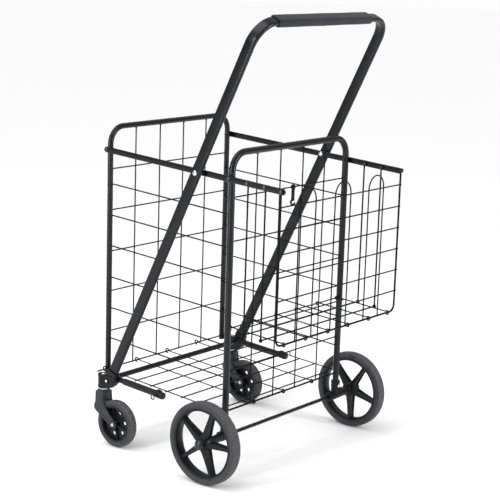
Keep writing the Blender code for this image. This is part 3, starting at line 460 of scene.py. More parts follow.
# ---------------------------------------------------------------- side arms and handle
def build_arms():
    start, end, nose, turns = -DEPTH - 0.006, PANEL_REACH + 0.007, 0.0055, 6
    angles = [k / turns * math.pi / 2 for k in range(turns + 1)]
    stations = [(start + nose * (1 - math.cos(a)), math.sin(a)) for a in angles]
    stations += [(end - nose * (1 - math.sin(a)), math.cos(a)) for a in angles]
    for word, side in SIDES.items():
        bm = bmesh.new()
        middle, outer = side * (ARM_X + ARM_THICK / 2), side * (ARM_X + ARM_THICK)
        path = [(middle, REAR_Y + reach, arm_z(reach)) for reach, _ in stations]
        sections = [rounded_box(ARM_THICK, max(0.004, ARM_HIGH * share), 0.0019) for _, share in stations]
        sweep(bm, path, sections, (1, 0, 0))
        piece(f"side_arm_bar_{word}", bm, "side_arms", STEEL, f"side_arm_{word}")

        bm = bmesh.new()
        for reach in ROD_REACH:
            y, z = REAR_Y + reach, arm_z(reach)
            rod(bm, (middle, y, z), (side * (ARM_X - 0.0044), y, z), BASKET_PIN_R, 16)
            dome(bm, (side * (ARM_X - 0.0038), y, z), (-side, 0, 0), 0.0040, 0.0016)
            dome(bm, (outer, y, z), (side, 0, 0), 0.0054, 0.0024)
        y, z = REAR_Y + PANEL_REACH, arm_z(PANEL_REACH)
        rod(bm, (middle, y, z), (outer + side * 0.0058, y, z), BASKET_PIN_R, 16)
        dome(bm, (outer + side * 0.0056, y, z), (side, 0, 0), 0.0052, 0.0018)
        y, z = FRONT_Y, arm_z(-DEPTH)
        rod(bm, (middle, y, z), (side * (FRONT_X - 0.008), y, z), PIN_R, 16)
        dome(bm, (outer, y, z), (side, 0, 0), 0.0052, 0.0024)
        piece(f"side_arm_pins_{word}", bm, "side_arms", BLACK_OXIDE)

        bm = bmesh.new()
        rod(bm, (side * (REAR_X - 0.009), REAR_Y, ARM_Z), (outer, REAR_Y, ARM_Z), PIN_R, 16)
        dome(bm, (outer + side * 0.0003, REAR_Y, ARM_Z), (side, 0, 0), 0.0054, 0.0026)
        piece(f"arm_rivet_head_{word}", bm, "rear_frame", BLACK_OXIDE, f"arm_rivet_{word}")

        bm = bmesh.new()
        y, z = REAR_Y - HANDLE_BACK, arm_z(-HANDLE_BACK)
        rod(bm, (side * (ARM_X - 0.002), y, z), (side * (HANDLE_X + 0.005), y, z), PIN_R, 16)
        dome(bm, (side * (HANDLE_X + HANDLE_THICK / 2 + 0.0003), y, z), (side, 0, 0), 0.0058, 0.0028)
        dome(bm, (side * (ARM_X - 0.0004), y, z), (-side, 0, 0), 0.0052, 0.0018)
        turned(bm, [(-0.0022, 0.0030), (0.0022, 0.0030), (0.0022, 0.0062), (-0.0022, 0.0062)],
               (side * (ARM_X + ARM_THICK + 0.0031), y, z), "X", 32)
        piece(f"handle_rivet_head_{word}", bm, "handle", ZINC, f"handle_rivet_{word}")


def build_handle():
    corners = [(side * HANDLE_X, *leg_point(z))
               for side, z in ((-1, HANDLE_FOOT), (-1, HANDLE_TOP), (1, HANDLE_TOP), (1, HANDLE_FOOT))]
    path = bent(corners, HANDLE_BEND, 18)
    bm = bmesh.new()
    sweep(bm, path, rounded_box(HANDLE_THICK, HANDLE_WIDE, 0.0046, 6), (1, 0, 0),
          rounded_box(HANDLE_THICK - 2 * TUBE_WALL, HANDLE_WIDE - 2 * TUBE_WALL, 0.0034, 6))
    piece("handle_tube", bm, "handle", STEEL, "handle")

    y, z = leg_point(HANDLE_TOP)
    bm = bmesh.new()
    thick, wide = HANDLE_THICK + 0.0075, HANDLE_WIDE + 0.0036
    stations = [(-1.0, -0.0012), (-0.997, -0.0003), (-0.985, 0.0), (-0.7, 0.0002), (-0.35, -0.0001),
                (0.0, 0.0003), (0.35, 0.0), (0.7, 0.0002), (0.985, 0.0), (0.997, -0.0003), (1.0, -0.0012)]
    path = [(GRIP_SHIFT + GRIP_HALF * t, y, z) for t, _ in stations]
    sections = [rounded_box(thick + 2 * s, wide + 2 * s, 0.0058, 7) for _, s in stations]
    hint = (0, math.sin(LEAN), math.cos(LEAN))
    sweep(bm, path, sections, hint, rounded_box(HANDLE_THICK + 0.0006, HANDLE_WIDE + 0.0006, 0.0047, 7))
    piece("foam_grip", bm, "handle", FOAM, "handle_grip")


# ---------------------------------------------------------------- base tube, end clips and latch hooks
def build_base():
    front_z, rear_z, end_y = base_z(0.035), base_z(BASE_END), FRONT_Y + BASE_END
    corners = [(-BASE_X, end_y, rear_z), (-BASE_X, BASE_Y, front_z), (BASE_X, BASE_Y, front_z),
               (BASE_X, end_y, rear_z)]
    bm = bmesh.new()
    sweep(bm, bent(corners, 0.014, 10), circle(BASE_R, 28), (0, 0, 1), circle(BASE_R - TUBE_WALL, 28))
    for side in (-1, 1):
        sleeve = [(side * BASE_X, FRONT_Y + behind, base_z(behind)) for behind in (0.0680, 0.0686, 0.1650)]
        sections = [rounded_box(2 * BASE_R - inset, 2 * BASE_R + 0.0010 - inset, 0.0032, 6)
                    for inset in (0.0010, 0.0, 0.0)]
        sweep(bm, sleeve, sections, (1, 0, 0), circle(BASE_R - 0.0006, 24))
    piece("base_tube_bent", bm, "handle", STEEL, "base_tube")
    for word, side in SIDES.items():
        y_to = end_y + 0.005
        y_from = y_to - CLIP_LONG
        middle = side * (BASE_IN + CLIP_WIDE / 2)
        bm = bmesh.new()
        stations = [(0.0, 0.0120, 0.0), (0.0006, 0.0140, 0.0004), (0.0022, 0.0162, 0.0014),
                    (0.0050, 0.0174, 0.0020), (0.0082, 0.0168, 0.0017), (0.0108, 0.0148, 0.0007),
                    (0.0125, 0.0138, 0.0002), (0.0205, 0.0136, 0.0), (0.0216, 0.0130, 0.0),
                    (0.0220, 0.0120, 0.0)]
        path = [(middle, y_from + t, base_z(y_from + t - FRONT_Y) + rise) for t, _, rise in stations]
        sections = [rounded_box(min(CLIP_WIDE, tall + 0.0012), tall, 0.0040, 6) for _, tall, _ in stations]
        sweep(bm, path, sections, (1, 0, 0))
        face = side * (BASE_IN + CLIP_WIDE)
        y, z = FRONT_Y + LATCH_BACK, base_z(LATCH_BACK)
        turned(bm, [(0.0, 0.0017), (side * 0.0012, 0.0017), (side * 0.0009, 0.0042), (0.0, 0.0046)],
               (face - side * 0.0002, y, z), "X", 24)
        piece(f"base_end_clip_{word}", bm, "handle", PLASTIC, f"end_clip_{word}")

        turn = LATCH_TURN[side]
        x = side * (BASE_IN + CLIP_WIDE + 0.0030)
        outline = [(0.0, -0.05), (0.41, -0.05), (0.48, 0.46), (0.70, 0.55), (0.93, 0.43), (1.0, -0.05)]
        cos, sin = LATCH_SIZE * math.cos(turn), LATCH_SIZE * math.sin(turn)
        points = [(x, y + a * cos - b * sin, z + a * sin + b * cos) for a, b in outline]
        bm = bmesh.new()
        sweep(bm, bent(points, 0.0022, 6), circle(LATCH_WIRE_R, 12), (1, 0, 0), rounded=WIRE_END)
        rod(bm, (face - side * 0.0018, y, z), (face + side * 0.0040, y, z), LATCH_WIRE_R, 12, WIRE_END)
        piece(f"latch_wire_{word}", bm, f"latch_hook_{word}", WIRE, f"latch_hook_{word}")


# ---------------------------------------------------------------- casters
def bracket(word, side):
    """Moulded corner: stem and leg sleeves, a web with a bolt boss, and a seat for the base tube."""
    x = side * HANDLE_X
    bm = bmesh.new()
    low, high = BRACKET_FOOT, BRACKET_FOOT + 0.0315
    turned(bm, [(low, 0.0052), (low, 0.0124), (low + 0.0012, 0.0135), (low + 0.0050, 0.0135),
                (low + 0.0058, 0.0128), (high - 0.0070, 0.0128), (high - 0.0062, 0.0135),
                (high - 0.0014, 0.0135), (high, 0.0122), (high, 0.0052)], (x, KINGPIN_Y, 0), "Z", 48)
    foot = FRONT_Y
    web = [(foot + 0.012, 0.1310), (foot + 0.034, 0.1310), (foot + 0.0470, 0.1400), (foot + 0.0530, 0.1560),
           (foot + 0.0480, 0.1640), (foot + 0.0220, 0.1590), (foot + 0.0120, 0.1590)]
    slab(bm, web, x - 0.0100, x + 0.0100, 0.0030)
    outer = rounded_box(HANDLE_THICK + 0.0070, HANDLE_WIDE + 0.0030, 0.0056, 7)
    lip = rounded_box(HANDLE_THICK + 0.0086, HANDLE_WIDE + 0.0044, 0.0064, 7)
    hole = rounded_box(HANDLE_THICK + 0.0005, HANDLE_WIDE + 0.0005, 0.0047, 7)
    heights = [0.1400, 0.1650, 0.1657, 0.1668, 0.1712, 0.1723]
    shapes = [outer, outer, outer, lip, lip, outer]
    sweep(bm, [(x, *leg_point(z)) for z in heights], shapes, (1, 0, 0), hole)
    z_mid = base_z(0.035)
    boss = [(BASE_Y - 0.0095, z_mid - 0.0095), (BASE_Y + 0.0165, z_mid - 0.0100),
            (BASE_Y + 0.0165, z_mid + 0.0085), (BASE_Y - 0.0095, z_mid + 0.0088)]
    slab(bm, boss, side * BASE_IN, x, 0.0022)
    face, y, z = x + side * 0.0100, foot + 0.0290, 0.1490
    turned(bm, [(-side * 0.0030, 0.0040), (side * 0.0022, 0.0050), (side * 0.0022, 0.0066),
                (side * 0.0010, 0.0080), (-side * 0.0030, 0.0084)], (face, y, z), "X", 40)
    rib = [(x, KINGPIN_Y + 0.0134, BRACKET_FOOT + 0.0060), (x, KINGPIN_Y + 0.0134, high - 0.0080)]
    sweep(bm, rib, rounded_box(0.0200, 0.0030, 0.0012, 4), (1, 0, 0))
    piece(f"corner_bracket_{word}", bm, "handle", PLASTIC, f"caster_bracket_{word}")

    bm = bmesh.new()
    dome(bm, (face + side * 0.0006, y, z), (side, 0, 0), 0.0036, 0.0018, 28)
    piece(f"bracket_bolt_{word}", bm, "handle", ZINC)
    bm = bmesh.new()
    dome(bm, (x, KINGPIN_Y, high - 0.0002), (0, 0, 1), 0.0062, 0.0018, 28)
    piece(f"stem_cap_{word}", bm, "handle", ZINC)

    bm = bmesh.new()
    cup_low, cup_high = CROWN_TOP + 0.0003, BRACKET_FOOT - 0.0003
    turned(bm, [(cup_low, 0.0052), (cup_low, 0.0092), (cup_low + 0.0010, 0.0112), (cup_low + 0.0022, 0.0112),
                (cup_low + 0.0028, 0.0100), (cup_high - 0.0004, 0.0108), (cup_high, 0.0102),
                (cup_high, 0.0052)], (x, KINGPIN_Y, 0), "Z", 48)
    rod(bm, (x, KINGPIN_Y, 0.1080), (x, KINGPIN_Y, 0.1502), 0.0050, 24)
    piece(f"kingpin_stud_{word}", bm, "handle", ZINC, f"kingpin_{word}")


def catmull_rom(a, b, c, d, t):
    return b + 0.5 * t * (c - a + t * (2 * a - 5 * b + 4 * c - d + t * (3 * b - a - 3 * c + d)))


def smooth_curve(points, steps=5):
    """Catmull-Rom curve through (y, z) points."""
    out = []
    for k in range(len(points) - 1):
        p0, p1, p2, p3 = points[max(k - 1, 0)], points[k], points[k + 1], points[min(k + 2, len(points) - 1)]
        for step in range(steps):
            out.append(tuple(catmull_rom(*four, step / steps) for four in zip(p0, p1, p2, p3)))
    return out + [points[-1]]


def fork(word, side):
    """Round crown and two broad plates that narrow to the axle, with a raised rib along both edges."""
    x, axle_y, pin, crown = side * HANDLE_X, KINGPIN_Y + TRAIL, KINGPIN_Y, CROWN_TOP
    bm = bmesh.new()
    low = crown - 0.0240
    turned(bm, [(low + 0.006, 0.0052), (low + 0.002, 0.0110), (low, 0.0136), (low + 0.0016, 0.0142),
                (crown - 0.0030, 0.0142), (crown - 0.0012, 0.0136), (crown, 0.0120), (crown, 0.0052)],
           (x, pin, 0), "Z", 48)
    tip = [(axle_y + 0.0085 * math.cos(math.radians(d)), CASTER_R + 0.0085 * math.sin(math.radians(d)))
           for d in range(225, 406, 12)]
    top, back = (pin + 0.0110, crown - 0.0030), (pin - 0.0110, crown - 0.0030)
    rear_edge = smooth_curve([tip[-1], (axle_y - 0.0100, CASTER_R + 0.0215), (pin + 0.0150, crown - 0.0300),
                              (pin + 0.0118, crown - 0.0160), top])
    front_edge = smooth_curve([back, (pin - 0.0118, crown - 0.0200), (pin - 0.0122, crown - 0.0300),
                               (pin - 0.0150, crown - 0.0345), (pin - 0.0152, crown - 0.0430),
                               (pin - 0.0096, crown - 0.0500), tip[0]])
    outline = tip + rear_edge[1:] + front_edge[:-1]
    cheek = [(pin - 0.0108, crown - 0.0026), (pin - 0.0112, low), (pin + 0.0112, low),
             (pin + 0.0108, crown - 0.0026)]
    rear_rib = [(axle_y - 0.0010, CASTER_R + 0.0080), (axle_y - 0.0125, CASTER_R + 0.0212),
                (pin + 0.0122, crown - 0.0310), (pin + 0.0050, crown - 0.0170)]
    front_rib = [(axle_y - 0.0080, CASTER_R - 0.0010), (pin + 0.0060, crown - 0.0530),
                 (pin - 0.0070, crown - 0.0440)]
    thick = FORK_PLATE - 0.0008
    for way in (-1, 1):
        slab(bm, outline, x + way * FORK_IN, x + way * (FORK_IN + thick), 0.0007, 2)
        slab(bm, cheek, x + way * 0.0060, x + way * (FORK_IN + 0.0010), 0.0008, 2)
        for rib, radius in ((rear_rib, 0.0014), (front_rib, 0.0012)):
            path = [(x + way * (FORK_IN + thick), y, z) for y, z in smooth_curve(rib, 7)]
            sweep(bm, path, circle(radius, 10), (1, 0, 0), rounded=0.0010)
        turned(bm, [(0.0, 0.0034), (way * 0.0022, 0.0034), (way * 0.0022, 0.0060), (0.0, 0.0076)],
               (x + way * (FORK_IN + FORK_PLATE - 0.0018), axle_y, CASTER_R), "X", 32)
    piece(f"fork_body_{word}", bm, f"caster_fork_{word}", FORK, f"caster_fork_{word}")

    bm = bmesh.new()
    reach = FORK_IN + FORK_PLATE
    rod(bm, (x - reach - 0.002, axle_y, CASTER_R), (x + reach + 0.0020, axle_y, CASTER_R), 0.0030, 24)
    for way in (-1, 1):
        dome(bm, (x + way * (reach + 0.0002), axle_y, CASTER_R), (way, 0, 0), 0.0038, 0.0020, 28)
    piece(f"fork_axle_{word}", bm, f"caster_fork_{word}", ZINC, f"caster_axle_{word}")


def radial(angle):
    """Directions outward and across at an angle about X."""
    return Vector((0, math.cos(angle), math.sin(angle))), Vector((0, -math.sin(angle), math.cos(angle)))


def caster_wheel(word, side):
    centre = Vector((side * HANDLE_X, KINGPIN_Y + TRAIL, CASTER_R))
    rim = CASTER_R * 0.76
    bm = bmesh.new()
    half = 0.0110
    flank = [(half - 0.0014, rim), (half - 0.0006, rim + 0.0006), (half - 0.0004, rim + 0.0016),
             (half - 0.0012, rim + 0.0022), (half - 0.0010, rim + 0.0030), (half, rim + 0.0040),
             (half - 0.0004, CASTER_R - 0.0050), (half - 0.0014, CASTER_R - 0.0030),
             (half - 0.0034, CASTER_R - 0.0012), (half - 0.0064, CASTER_R - 0.0003)]
    outline = flank + [(0.0, CASTER_R)] + [(-a, r) for a, r in reversed(flank)]
    turned(bm, outline, centre, "X", 96, lambda k: 1 if 7 <= k <= 12 else 0)
    piece(f"caster_tread_{word}", bm, f"caster_wheel_{word}", (RUBBER, TREAD), f"caster_tyre_{word}")

    rim -= 0.0003
    bm = bmesh.new()
    web = [(-0.0018, 0.0060), (0.0018, 0.0060), (0.0018, rim - 0.0020), (-0.0018, rim - 0.0020)]
    turned(bm, web, centre, "X", 96)
    holes = bmesh.new()
    for k in range(6):
        out, across = radial(math.radians(60 * k + 12))
        ends = [centre + out * 0.0250 + Vector((shift, 0, 0)) for shift in (-0.0040, 0.0040)]
        sweep(holes, ends, circle(0.0044, 24), across)
    bm = cut(bm, holes)
    turned(bm, [(-0.0100, rim - 0.0028), (-0.0094, rim - 0.0034), (-0.0030, rim - 0.0050),
                (0.0030, rim - 0.0050), (0.0094, rim - 0.0034), (0.0100, rim - 0.0028), (0.0100, rim),
                (-0.0100, rim)], centre, "X", 96)
    turned(bm, [(-0.0116, 0.0034), (0.0116, 0.0034), (0.0118, 0.0070), (0.0104, 0.0086), (0.0020, 0.0102),
                (-0.0020, 0.0102), (-0.0104, 0.0086), (-0.0118, 0.0070)], centre, "X", 48)
    for k in range(6):
        out, across = radial(math.radians(60 * k + 42))
        rings = []
        for reach, wide, deep in ((0.0070, 0.0022, 0.0190), (0.0200, 0.0016, 0.0110),
                                  (rim - 0.0030, 0.0018, 0.0130)):
            section = rounded_box(wide, deep, 0.0007, 3)
            rings.append(ring(bm, centre + out * reach, across, Vector((1, 0, 0)), section))
        loft(bm, rings)
    piece(f"caster_spider_{word}", bm, f"caster_wheel_{word}", PLASTIC, f"caster_hub_{word}")


# ---------------------------------------------------------------- rear axle, brackets and wheels
def build_rear_axle():
    bm = bmesh.new()
    reach = WHEEL_X + 0.0205
    rod(bm, (-reach, REAR_Y, WHEEL_R), (reach, REAR_Y, WHEEL_R), AXLE_R, 28)
    piece("axle_rod", bm, "rear_frame", STEEL, "rear_axle")
    for word, side in SIDES.items():
        bm = bmesh.new()
        washer = [(-0.0010, 0.0042), (0.0010, 0.0042), (0.0010, 0.0085), (0.0006, 0.0088), (-0.0006, 0.0088),
                  (-0.0010, 0.0085)]
        turned(bm, washer, (side * 0.2509, REAR_Y, WHEEL_R), "X", 48)
        piece(f"axle_washer_{word}", bm, "rear_frame", ZINC)

        x = side * REAR_X
        bm = bmesh.new()
        profile = [(0.1730, 0.0043), (0.1730, 0.0090), (0.1738, 0.0098), (0.1790, 0.0098), (0.1796, 0.0092),
                   (0.1880, 0.0092), (0.1886, 0.0098), (0.2150, 0.0098), (0.2156, 0.0091), (0.2425, 0.0088),
                   (0.2431, 0.0098), (0.2487, 0.0098), (0.2495, 0.0090), (0.2495, 0.0043)]
        turned(bm, [(side * a, r) for a, r in profile], (0, REAR_Y, WHEEL_R), "X", 48)
        top = REAR_FOOT + 0.0210
        turned(bm, [(WHEEL_R, 0.0075), (WHEEL_R, 0.0100), (top - 0.0070, 0.0100), (top - 0.0064, 0.0106),
                    (top - 0.0010, 0.0106), (top, 0.0098), (top, 0.0075)], (x, REAR_Y, 0), "Z", 48)
        slab(bm, [(REAR_Y - 0.0016, WHEEL_R + 0.006), (REAR_Y + 0.0016, WHEEL_R + 0.006),
                  (REAR_Y + 0.0016, WHEEL_R + 0.0135), (REAR_Y - 0.0016, WHEEL_R + 0.0135)],
             x + side * 0.006, x + side * 0.026, 0.0012)
        piece(f"axle_tee_{word}", bm, "rear_frame", PLASTIC, f"axle_bracket_{word}")

        bm = bmesh.new()
        dome(bm, (x, REAR_Y + 0.0098, REAR_FOOT + 0.0085), (0, 1, 0), 0.0036, 0.0014, 24)
        dome(bm, (x, REAR_Y - 0.0098, REAR_FOOT + 0.0085), (0, -1, 0), 0.0036, 0.0014, 24)
        piece(f"axle_tee_screw_{word}", bm, "rear_frame", ZINC)


def spoke(bm, centre, outward, angle, rim):
    """Deep blade with a flange along its outer and inner edge, tapering from hub to rim."""
    # share of the rim's radius, half flange, half web, outer face, inner face
    stations = ((0.10, 0.0090, 0.0080, 0.0120, -0.0125), (0.17, 0.0068, 0.0045, 0.0118, -0.0122),
                (0.26, 0.0054, 0.0020, 0.0112, -0.0116), (0.50, 0.0044, 0.0015, 0.0098, -0.0102),
                (0.80, 0.0036, 0.0014, 0.0082, -0.0090), (0.94, 0.0036, 0.0020, 0.0078, -0.0086),
                (1.0, 0.0050, 0.0036, 0.0080, -0.0088))
    thick, lip = 0.0020, 0.0005
    out, across = radial(angle)
    rings = []
    for share, flange, web, face, rear in stations:
        section = [(-flange, rear + lip), (-flange + lip, rear), (flange - lip, rear), (flange, rear + lip),
                   (flange, rear + thick - lip), (web, rear + thick + 0.0006), (web, face - thick - 0.0006),
                   (flange, face - thick + lip), (flange, face - lip), (flange - lip, face),
                   (-flange + lip, face), (-flange, face - lip), (-flange, face - thick + lip),
                   (-web, face - thick - 0.0006), (-web, rear + thick + 0.0006),
                   (-flange, rear + thick - lip)]
        rings.append(ring(bm, centre + out * (rim * share), across, outward, section))
    loft(bm, rings)


def rear_wheel(word, side, phase):
    centre = Vector((side * WHEEL_X, REAR_Y, WHEEL_R))
    rim = WHEEL_R * 0.84
    half = 0.0130
    bm = bmesh.new()
    flank = [(half - 0.0022, rim), (half - 0.0012, rim + 0.0004), (half - 0.0008, rim + 0.0016),
             (half - 0.0018, rim + 0.0024), (half - 0.0016, rim + 0.0032), (half - 0.0002, rim + 0.0044),
             (half, WHEEL_R - 0.0060), (half - 0.0006, WHEEL_R - 0.0034), (half - 0.0018, WHEEL_R - 0.0022),
             (half - 0.0020, WHEEL_R - 0.0014), (half - 0.0036, WHEEL_R - 0.0008),
             (half - 0.0070, WHEEL_R - 0.0002)]
    outline = flank + [(0.0, WHEEL_R)] + [(-a, r) for a, r in reversed(flank)]
    turned(bm, outline, centre, "X", 144, lambda k: 1 if 8 <= k <= 15 else 0)
    piece(f"wheel_tyre_{word}", bm, f"rear_wheel_{word}", (RUBBER, TREAD), f"rear_tyre_{word}")

    bm = bmesh.new()
    rim -= 0.0003
    turned(bm, [(-0.0118, rim - 0.0030), (-0.0110, rim - 0.0038), (-0.0040, rim - 0.0052),
                (0.0060, rim - 0.0052), (0.0108, rim - 0.0040), (0.0118, rim - 0.0030), (0.0118, rim),
                (-0.0118, rim)], centre, "X", 144)
    for k in range(5):
        spoke(bm, centre, Vector((side, 0, 0)), math.radians(phase + 72 * k), rim - 0.0030)
    profile = [(-0.0140, 0.0044), (-0.0140, 0.0150), (-0.0130, 0.0162), (-0.0090, 0.0168), (0.0040, 0.0150),
               (0.0100, 0.0128), (0.0145, 0.0120), (0.0155, 0.0112), (0.0155, 0.0044)]
    turned(bm, [(side * a, r) for a, r in profile], centre, "X", 64)
    piece(f"wheel_spider_{word}", bm, f"rear_wheel_{word}", PLASTIC, f"rear_hub_{word}")

    bm = bmesh.new()
    face = side * (WHEEL_X + 0.0158)
    profile = [(0.0, 0.0042), (0.0, 0.0100), (0.0006, 0.0108), (0.0042, 0.0108), (0.0050, 0.0100),
               (0.0050, 0.0092), (0.0060, 0.0088), (0.0080, 0.0074), (0.0091, 0.0050), (0.0095, 0.0022),
               (0.0095, 0.0003), (0.0060, 0.0003), (0.0056, 0.0042)]
    turned(bm, [(side * a, r) for a, r in profile], (face, REAR_Y, WHEEL_R), "X", 48)
    piece(f"wheel_cap_{word}", bm, f"rear_wheel_{word}", CAP, f"hub_cap_{word}")


# ---------------------------------------------------------------- floor, small basket and fold clip
def arc(x, y, z, radius, start, end, steps=18):
    turns = [math.radians(start + (end - start) * k / steps) for k in range(steps + 1)]
    return [(x, y + radius * math.cos(a), z + radius * math.sin(a)) for a in turns]


def hooked(bm, x, hook_a, hook_b, loop_a, loop_b, meet_a, meet_b):
    """Wire from a loop about hook_a to a loop about hook_b; it leaves each loop at its meeting angle."""
    path = arc(x, *hook_a, loop_a, 300, meet_a) + arc(x, *hook_b, loop_b, 180 - meet_b, -125)
    sweep(bm, path, circle(WIRE_R, 12), (1, 0, 0), rounded=WIRE_END)


def build_floors():
    bm = bmesh.new()
    for x in FLOOR_X:
        hooked(bm, x, (FRONT_Y, FRONT_BOTTOM + LOOP_RISE), (REAR_Y, REAR_BOTTOM), 0.0047, 0.0041, 4, 20)
    for behind in FLOOR_CROSS:
        reach = 0.2117 if behind < 0.30 else REAR_X - REAR_R - 0.0015
        y, z = FRONT_Y + behind, edge_z(behind) - 0.0009
        rod(bm, (-reach, y, z), (reach, y, z), WIRE_R, 12, WIRE_END)
        for x in FLOOR_X:
            if abs(x) < reach:
                bead(bm, (x, y, z + 0.0010), FLOOR_SPOT_R)
    piece("floor_wires", bm, "main_floor", WIRE, "main_floor")

    bm = bmesh.new()
    rear, panel = (REAR_Y, REAR_ROWS[3]), (REAR_Y + PANEL_REACH, basket_z(PANEL_REACH))
    for x in BASKET_X:
        hooked(bm, x, rear, panel, 0.0036, 0.0042, 33, 33)
    for reach, half, radius in ((0.0180, 0.1925, WIRE_R), *((reach, 0.2118, RIM_R) for reach in ROD_REACH)):
        y, z = REAR_Y + reach, basket_z(reach)
        rod(bm, (-half, y, z), (half, y, z), radius, 12, WIRE_END)
        for x in BASKET_X:
            bead(bm, (x, y, z + 0.0010), FLOOR_SPOT_R)
    piece("basket_floor_wires", bm, "basket_floor", WIRE, "basket_floor")


def eye_ring(bm, x, y, z, bore, outer, thick):
    half = thick / 2
    turned(bm, [(-half, bore), (half, bore), (half, outer - 0.0006), (half - 0.0005, outer),
                (-half + 0.0005, outer), (-half, outer - 0.0006)], (x, y, z), "X", 32)


def build_small_basket():
    y, top, bottom = REAR_Y + PANEL_REACH, arm_z(PANEL_REACH), basket_z(PANEL_REACH)
    bm = bmesh.new()
    corners = [(-PANEL_X, y, top - 0.0036), (-PANEL_X, y, bottom), (PANEL_X, y, bottom),
               (PANEL_X, y, top - 0.0036)]
    sweep(bm, bent(corners, 0.016, 10), circle(PANEL_R, 16), (0, 1, 0))
    for z in PANEL_ROWS:
        tip = PANEL_X + 0.0035
        rod(bm, (-tip, y + 0.0007, z), (tip, y + 0.0007, z), WIRE_R, 12, WIRE_END)
        for side in (-1, 1):
            bead(bm, (side * PANEL_X, y + 0.0012, z), PANEL_WELD_R, (1.1, 0.8, 0.8))
    for middle in ARCH_X:
        spring = PANEL_ROWS[0] + 0.002
        curve = [(middle + ARCH_HALF * math.cos(a), y - 0.0007, spring + ARCH_HALF * math.sin(a))
                 for a in (math.pi * k / 28 for k in range(29))]
        ends = [(middle + s * ARCH_HALF, y - 0.0007, bottom) for s in (1, -1)]
        sweep(bm, [ends[0], *curve, ends[1]], circle(WIRE_R, 12), (0, 1, 0))
        for way in (-1, 1):
            for z in PANEL_ROWS:
                bead(bm, (middle + way * ARCH_HALF, y, z), SPOT_R)
            bead(bm, (middle + way * ARCH_HALF, y, bottom), PANEL_WELD_R, (0.9, 0.9, 0.9))
    for side in (-1, 1):
        eye_ring(bm, side * PANEL_X, y, top, 0.0024, 0.0050, 0.0030)
    piece("basket_panel_wires", bm, "basket_panel", WIRE, "basket_panel")
    for row, reach in enumerate(ROD_REACH, start=1):
        for word, side in SIDES.items():
            bm = bmesh.new()
            x, rod_y, top_z, foot_z = side * ROD_X, REAR_Y + reach, arm_z(reach), basket_z(reach)
            rod(bm, (x, rod_y, top_z - 0.0034), (x, rod_y, foot_z + 0.0028), ROD_R, 16)
            eye_ring(bm, x, rod_y, top_z, 0.0024, 0.0050, 0.0030)
            eye_ring(bm, x, rod_y, foot_z, 0.0018, 0.0042, 0.0032)
            piece(f"hanging_rod_{word}_{row}", bm, f"basket_rods_{row}", WIRE, f"basket_rod_{word}_{row}")


def build_fold_clip():
    """Dog-bone bar with a groove down both faces, an eye at the top and an open hook at the foot."""
    x, z = -0.0085, REAR_ROWS[0]
    bm = bmesh.new()
    turned(bm, [(-0.0018, 0.0021), (0.0018, 0.0021), (0.0018, 0.0051), (0.0012, 0.0058), (-0.0012, 0.0058),
                (-0.0018, 0.0051)], (x, REAR_Y, z), "X", 32)
    path, sections = [], []
    for drop, wide in ((0.0040, 0.0088), (0.0060, 0.0080), (0.0090, 0.0074), (0.0240, 0.0074),
                       (0.0275, 0.0082), (0.0300, 0.0090)):
        half, thin, deep = wide / 2, 0.0017, 0.0006
        path.append((x, REAR_Y, z - drop))
        sections.append([(-thin, -half + 0.0006), (-0.0011, -half), (0.0011, -half), (thin, -half + 0.0006),
                         (thin, -half + 0.0022), (thin - deep, -half + 0.0028), (thin - deep, half - 0.0028),
                         (thin, half - 0.0022), (thin, half - 0.0006), (0.0011, half), (-0.0011, half),
                         (-thin, half - 0.0006), (-thin, half - 0.0022), (-thin + deep, half - 0.0028),
                         (-thin + deep, -half + 0.0028), (-thin, -half + 0.0022)])
    sweep(bm, path, sections, (1, 0, 0))
    sweep(bm, arc(x, REAR_Y, z - 0.0345, 0.0050, 90, 375, 22), circle(0.0022, 14), (1, 0, 0), rounded=0.0012)
    piece("fold_clip_body", bm, "fold_clip", PLASTIC, "fold_clip")


# ---------------------------------------------------------------- studio
def stage(name, bm, finish):
    """Floor or backdrop: seen, but not part of the trolley."""
    mesh = bpy.data.meshes.new(name)
    bm.to_mesh(mesh)
    bm.free()
    mesh.materials.append(finish)
    made = bpy.data.objects.new(name, mesh)
    bpy.context.scene.collection.objects.link(made)
    return made


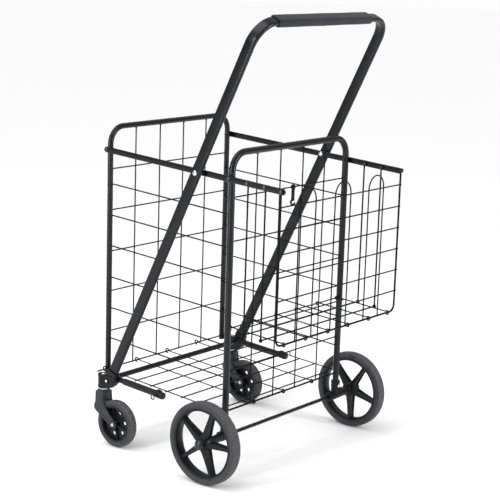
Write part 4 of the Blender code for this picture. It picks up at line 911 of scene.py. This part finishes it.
def build_studio():
    paper = bpy.data.materials.new("floor_paper")
    paper.use_nodes = True
    shader = paper.node_tree.nodes["Principled BSDF"]
    shader.inputs["Base Color"].default_value = (0.93, 0.93, 0.93, 1)
    shader.inputs["Roughness"].default_value = 0.9
    shader.inputs["Specular IOR Level"].default_value = 0.1
    bm = bmesh.new()
    bmesh.ops.create_circle(bm, cap_ends=True, segments=STUDIO_SIDES, radius=STUDIO_R)
    stage("floor", bm, paper).location.z = -0.0004

    glow = bpy.data.materials.new("backdrop_glow")
    glow.use_nodes = True
    shader = glow.node_tree.nodes["Principled BSDF"]
    shader.inputs["Base Color"].default_value = (0, 0, 0, 1)
    shader.inputs["Specular IOR Level"].default_value = 0.0
    shader.inputs["Emission Color"].default_value = (1, 1, 1, 1)
    shader.inputs["Emission Strength"].default_value = BACKDROP_GLOW
    bm = bmesh.new()
    around = [math.tau * k / STUDIO_SIDES for k in range(STUDIO_SIDES)]
    rings = [[bm.verts.new((STUDIO_R * math.cos(a), STUDIO_R * math.sin(a), z)) for a in around]
             for z in (-0.01, STUDIO_R)]
    bridge(bm, rings[0], rings[1])
    backdrop = stage("backdrop", bm, glow)
    backdrop.visible_diffuse = False
    backdrop.visible_glossy = False
    backdrop.visible_shadow = False

    world = bpy.data.worlds.new("studio")
    bpy.context.scene.world = world
    world.use_nodes = True
    tree = world.node_tree
    heading = node(tree, "ShaderNodeTexCoord").outputs["Generated"]
    height = node(tree, "ShaderNodeSeparateXYZ", Vector=heading).outputs["Z"]
    tree.links.new(ramp(tree, height, 0.05, 0.50, 0.10, 0.68), tree.nodes["Background"].inputs["Strength"])
    tree.nodes["Background"].inputs["Color"].default_value = (1, 1, 1, 1)
    bpy.context.scene.view_settings.view_transform = "Standard"

    sun = bpy.data.lights.new("overhead", "SUN")
    sun.energy = SUN_ENERGY
    sun.angle = SUN_ANGLE
    lamp = bpy.data.objects.new("overhead", sun)
    lamp.rotation_euler = Vector(SUN_DIRECTION).to_track_quat("-Z", "Y").to_euler()
    bpy.context.scene.collection.objects.link(lamp)
    for name, place, wide, tall, power in STRIPS:
        light = bpy.data.lights.new(name, "AREA")
        light.shape = "RECTANGLE"
        light.energy = power
        light.size, light.size_y = wide, tall
        lamp = bpy.data.objects.new(name, light)
        lamp.location = place
        lamp.rotation_euler = (Vector(STRIP_TARGET) - Vector(place)).to_track_quat("-Z", "Y").to_euler()
        bpy.context.scene.collection.objects.link(lamp)


def build_camera():
    azimuth, elevation, roll = CAMERA_AZIMUTH, CAMERA_ELEVATION, CAMERA_ROLL
    back = Vector((math.sin(azimuth) * math.cos(elevation), -math.cos(azimuth) * math.cos(elevation),
                   math.sin(elevation)))
    level = Vector((math.cos(azimuth), math.sin(azimuth), 0))
    upright = back.cross(level)
    right = level * math.cos(roll) - upright * math.sin(roll)
    up = level * math.sin(roll) + upright * math.cos(roll)
    data = bpy.data.cameras.new("camera")
    data.sensor_width = 36.0
    data.lens = CAMERA_LENS
    data.clip_start = 0.05
    data.clip_end = 100.0
    camera = bpy.data.objects.new("camera", data)
    place = Matrix((right, up, back)).transposed().to_4x4()
    place.translation = Vector(CAMERA_PLACE)
    camera.matrix_world = place
    bpy.context.scene.collection.objects.link(camera)
    bpy.context.scene.camera = camera


build_frames()
build_arms()
build_handle()
build_base()
for name, sign in SIDES.items():
    bracket(name, sign)
    fork(name, sign)
    caster_wheel(name, sign)
    rear_wheel(name, sign, 1 if sign > 0 else 57)
build_rear_axle()
build_floors()
build_small_basket()
build_fold_clip()
build_studio()
build_camera()
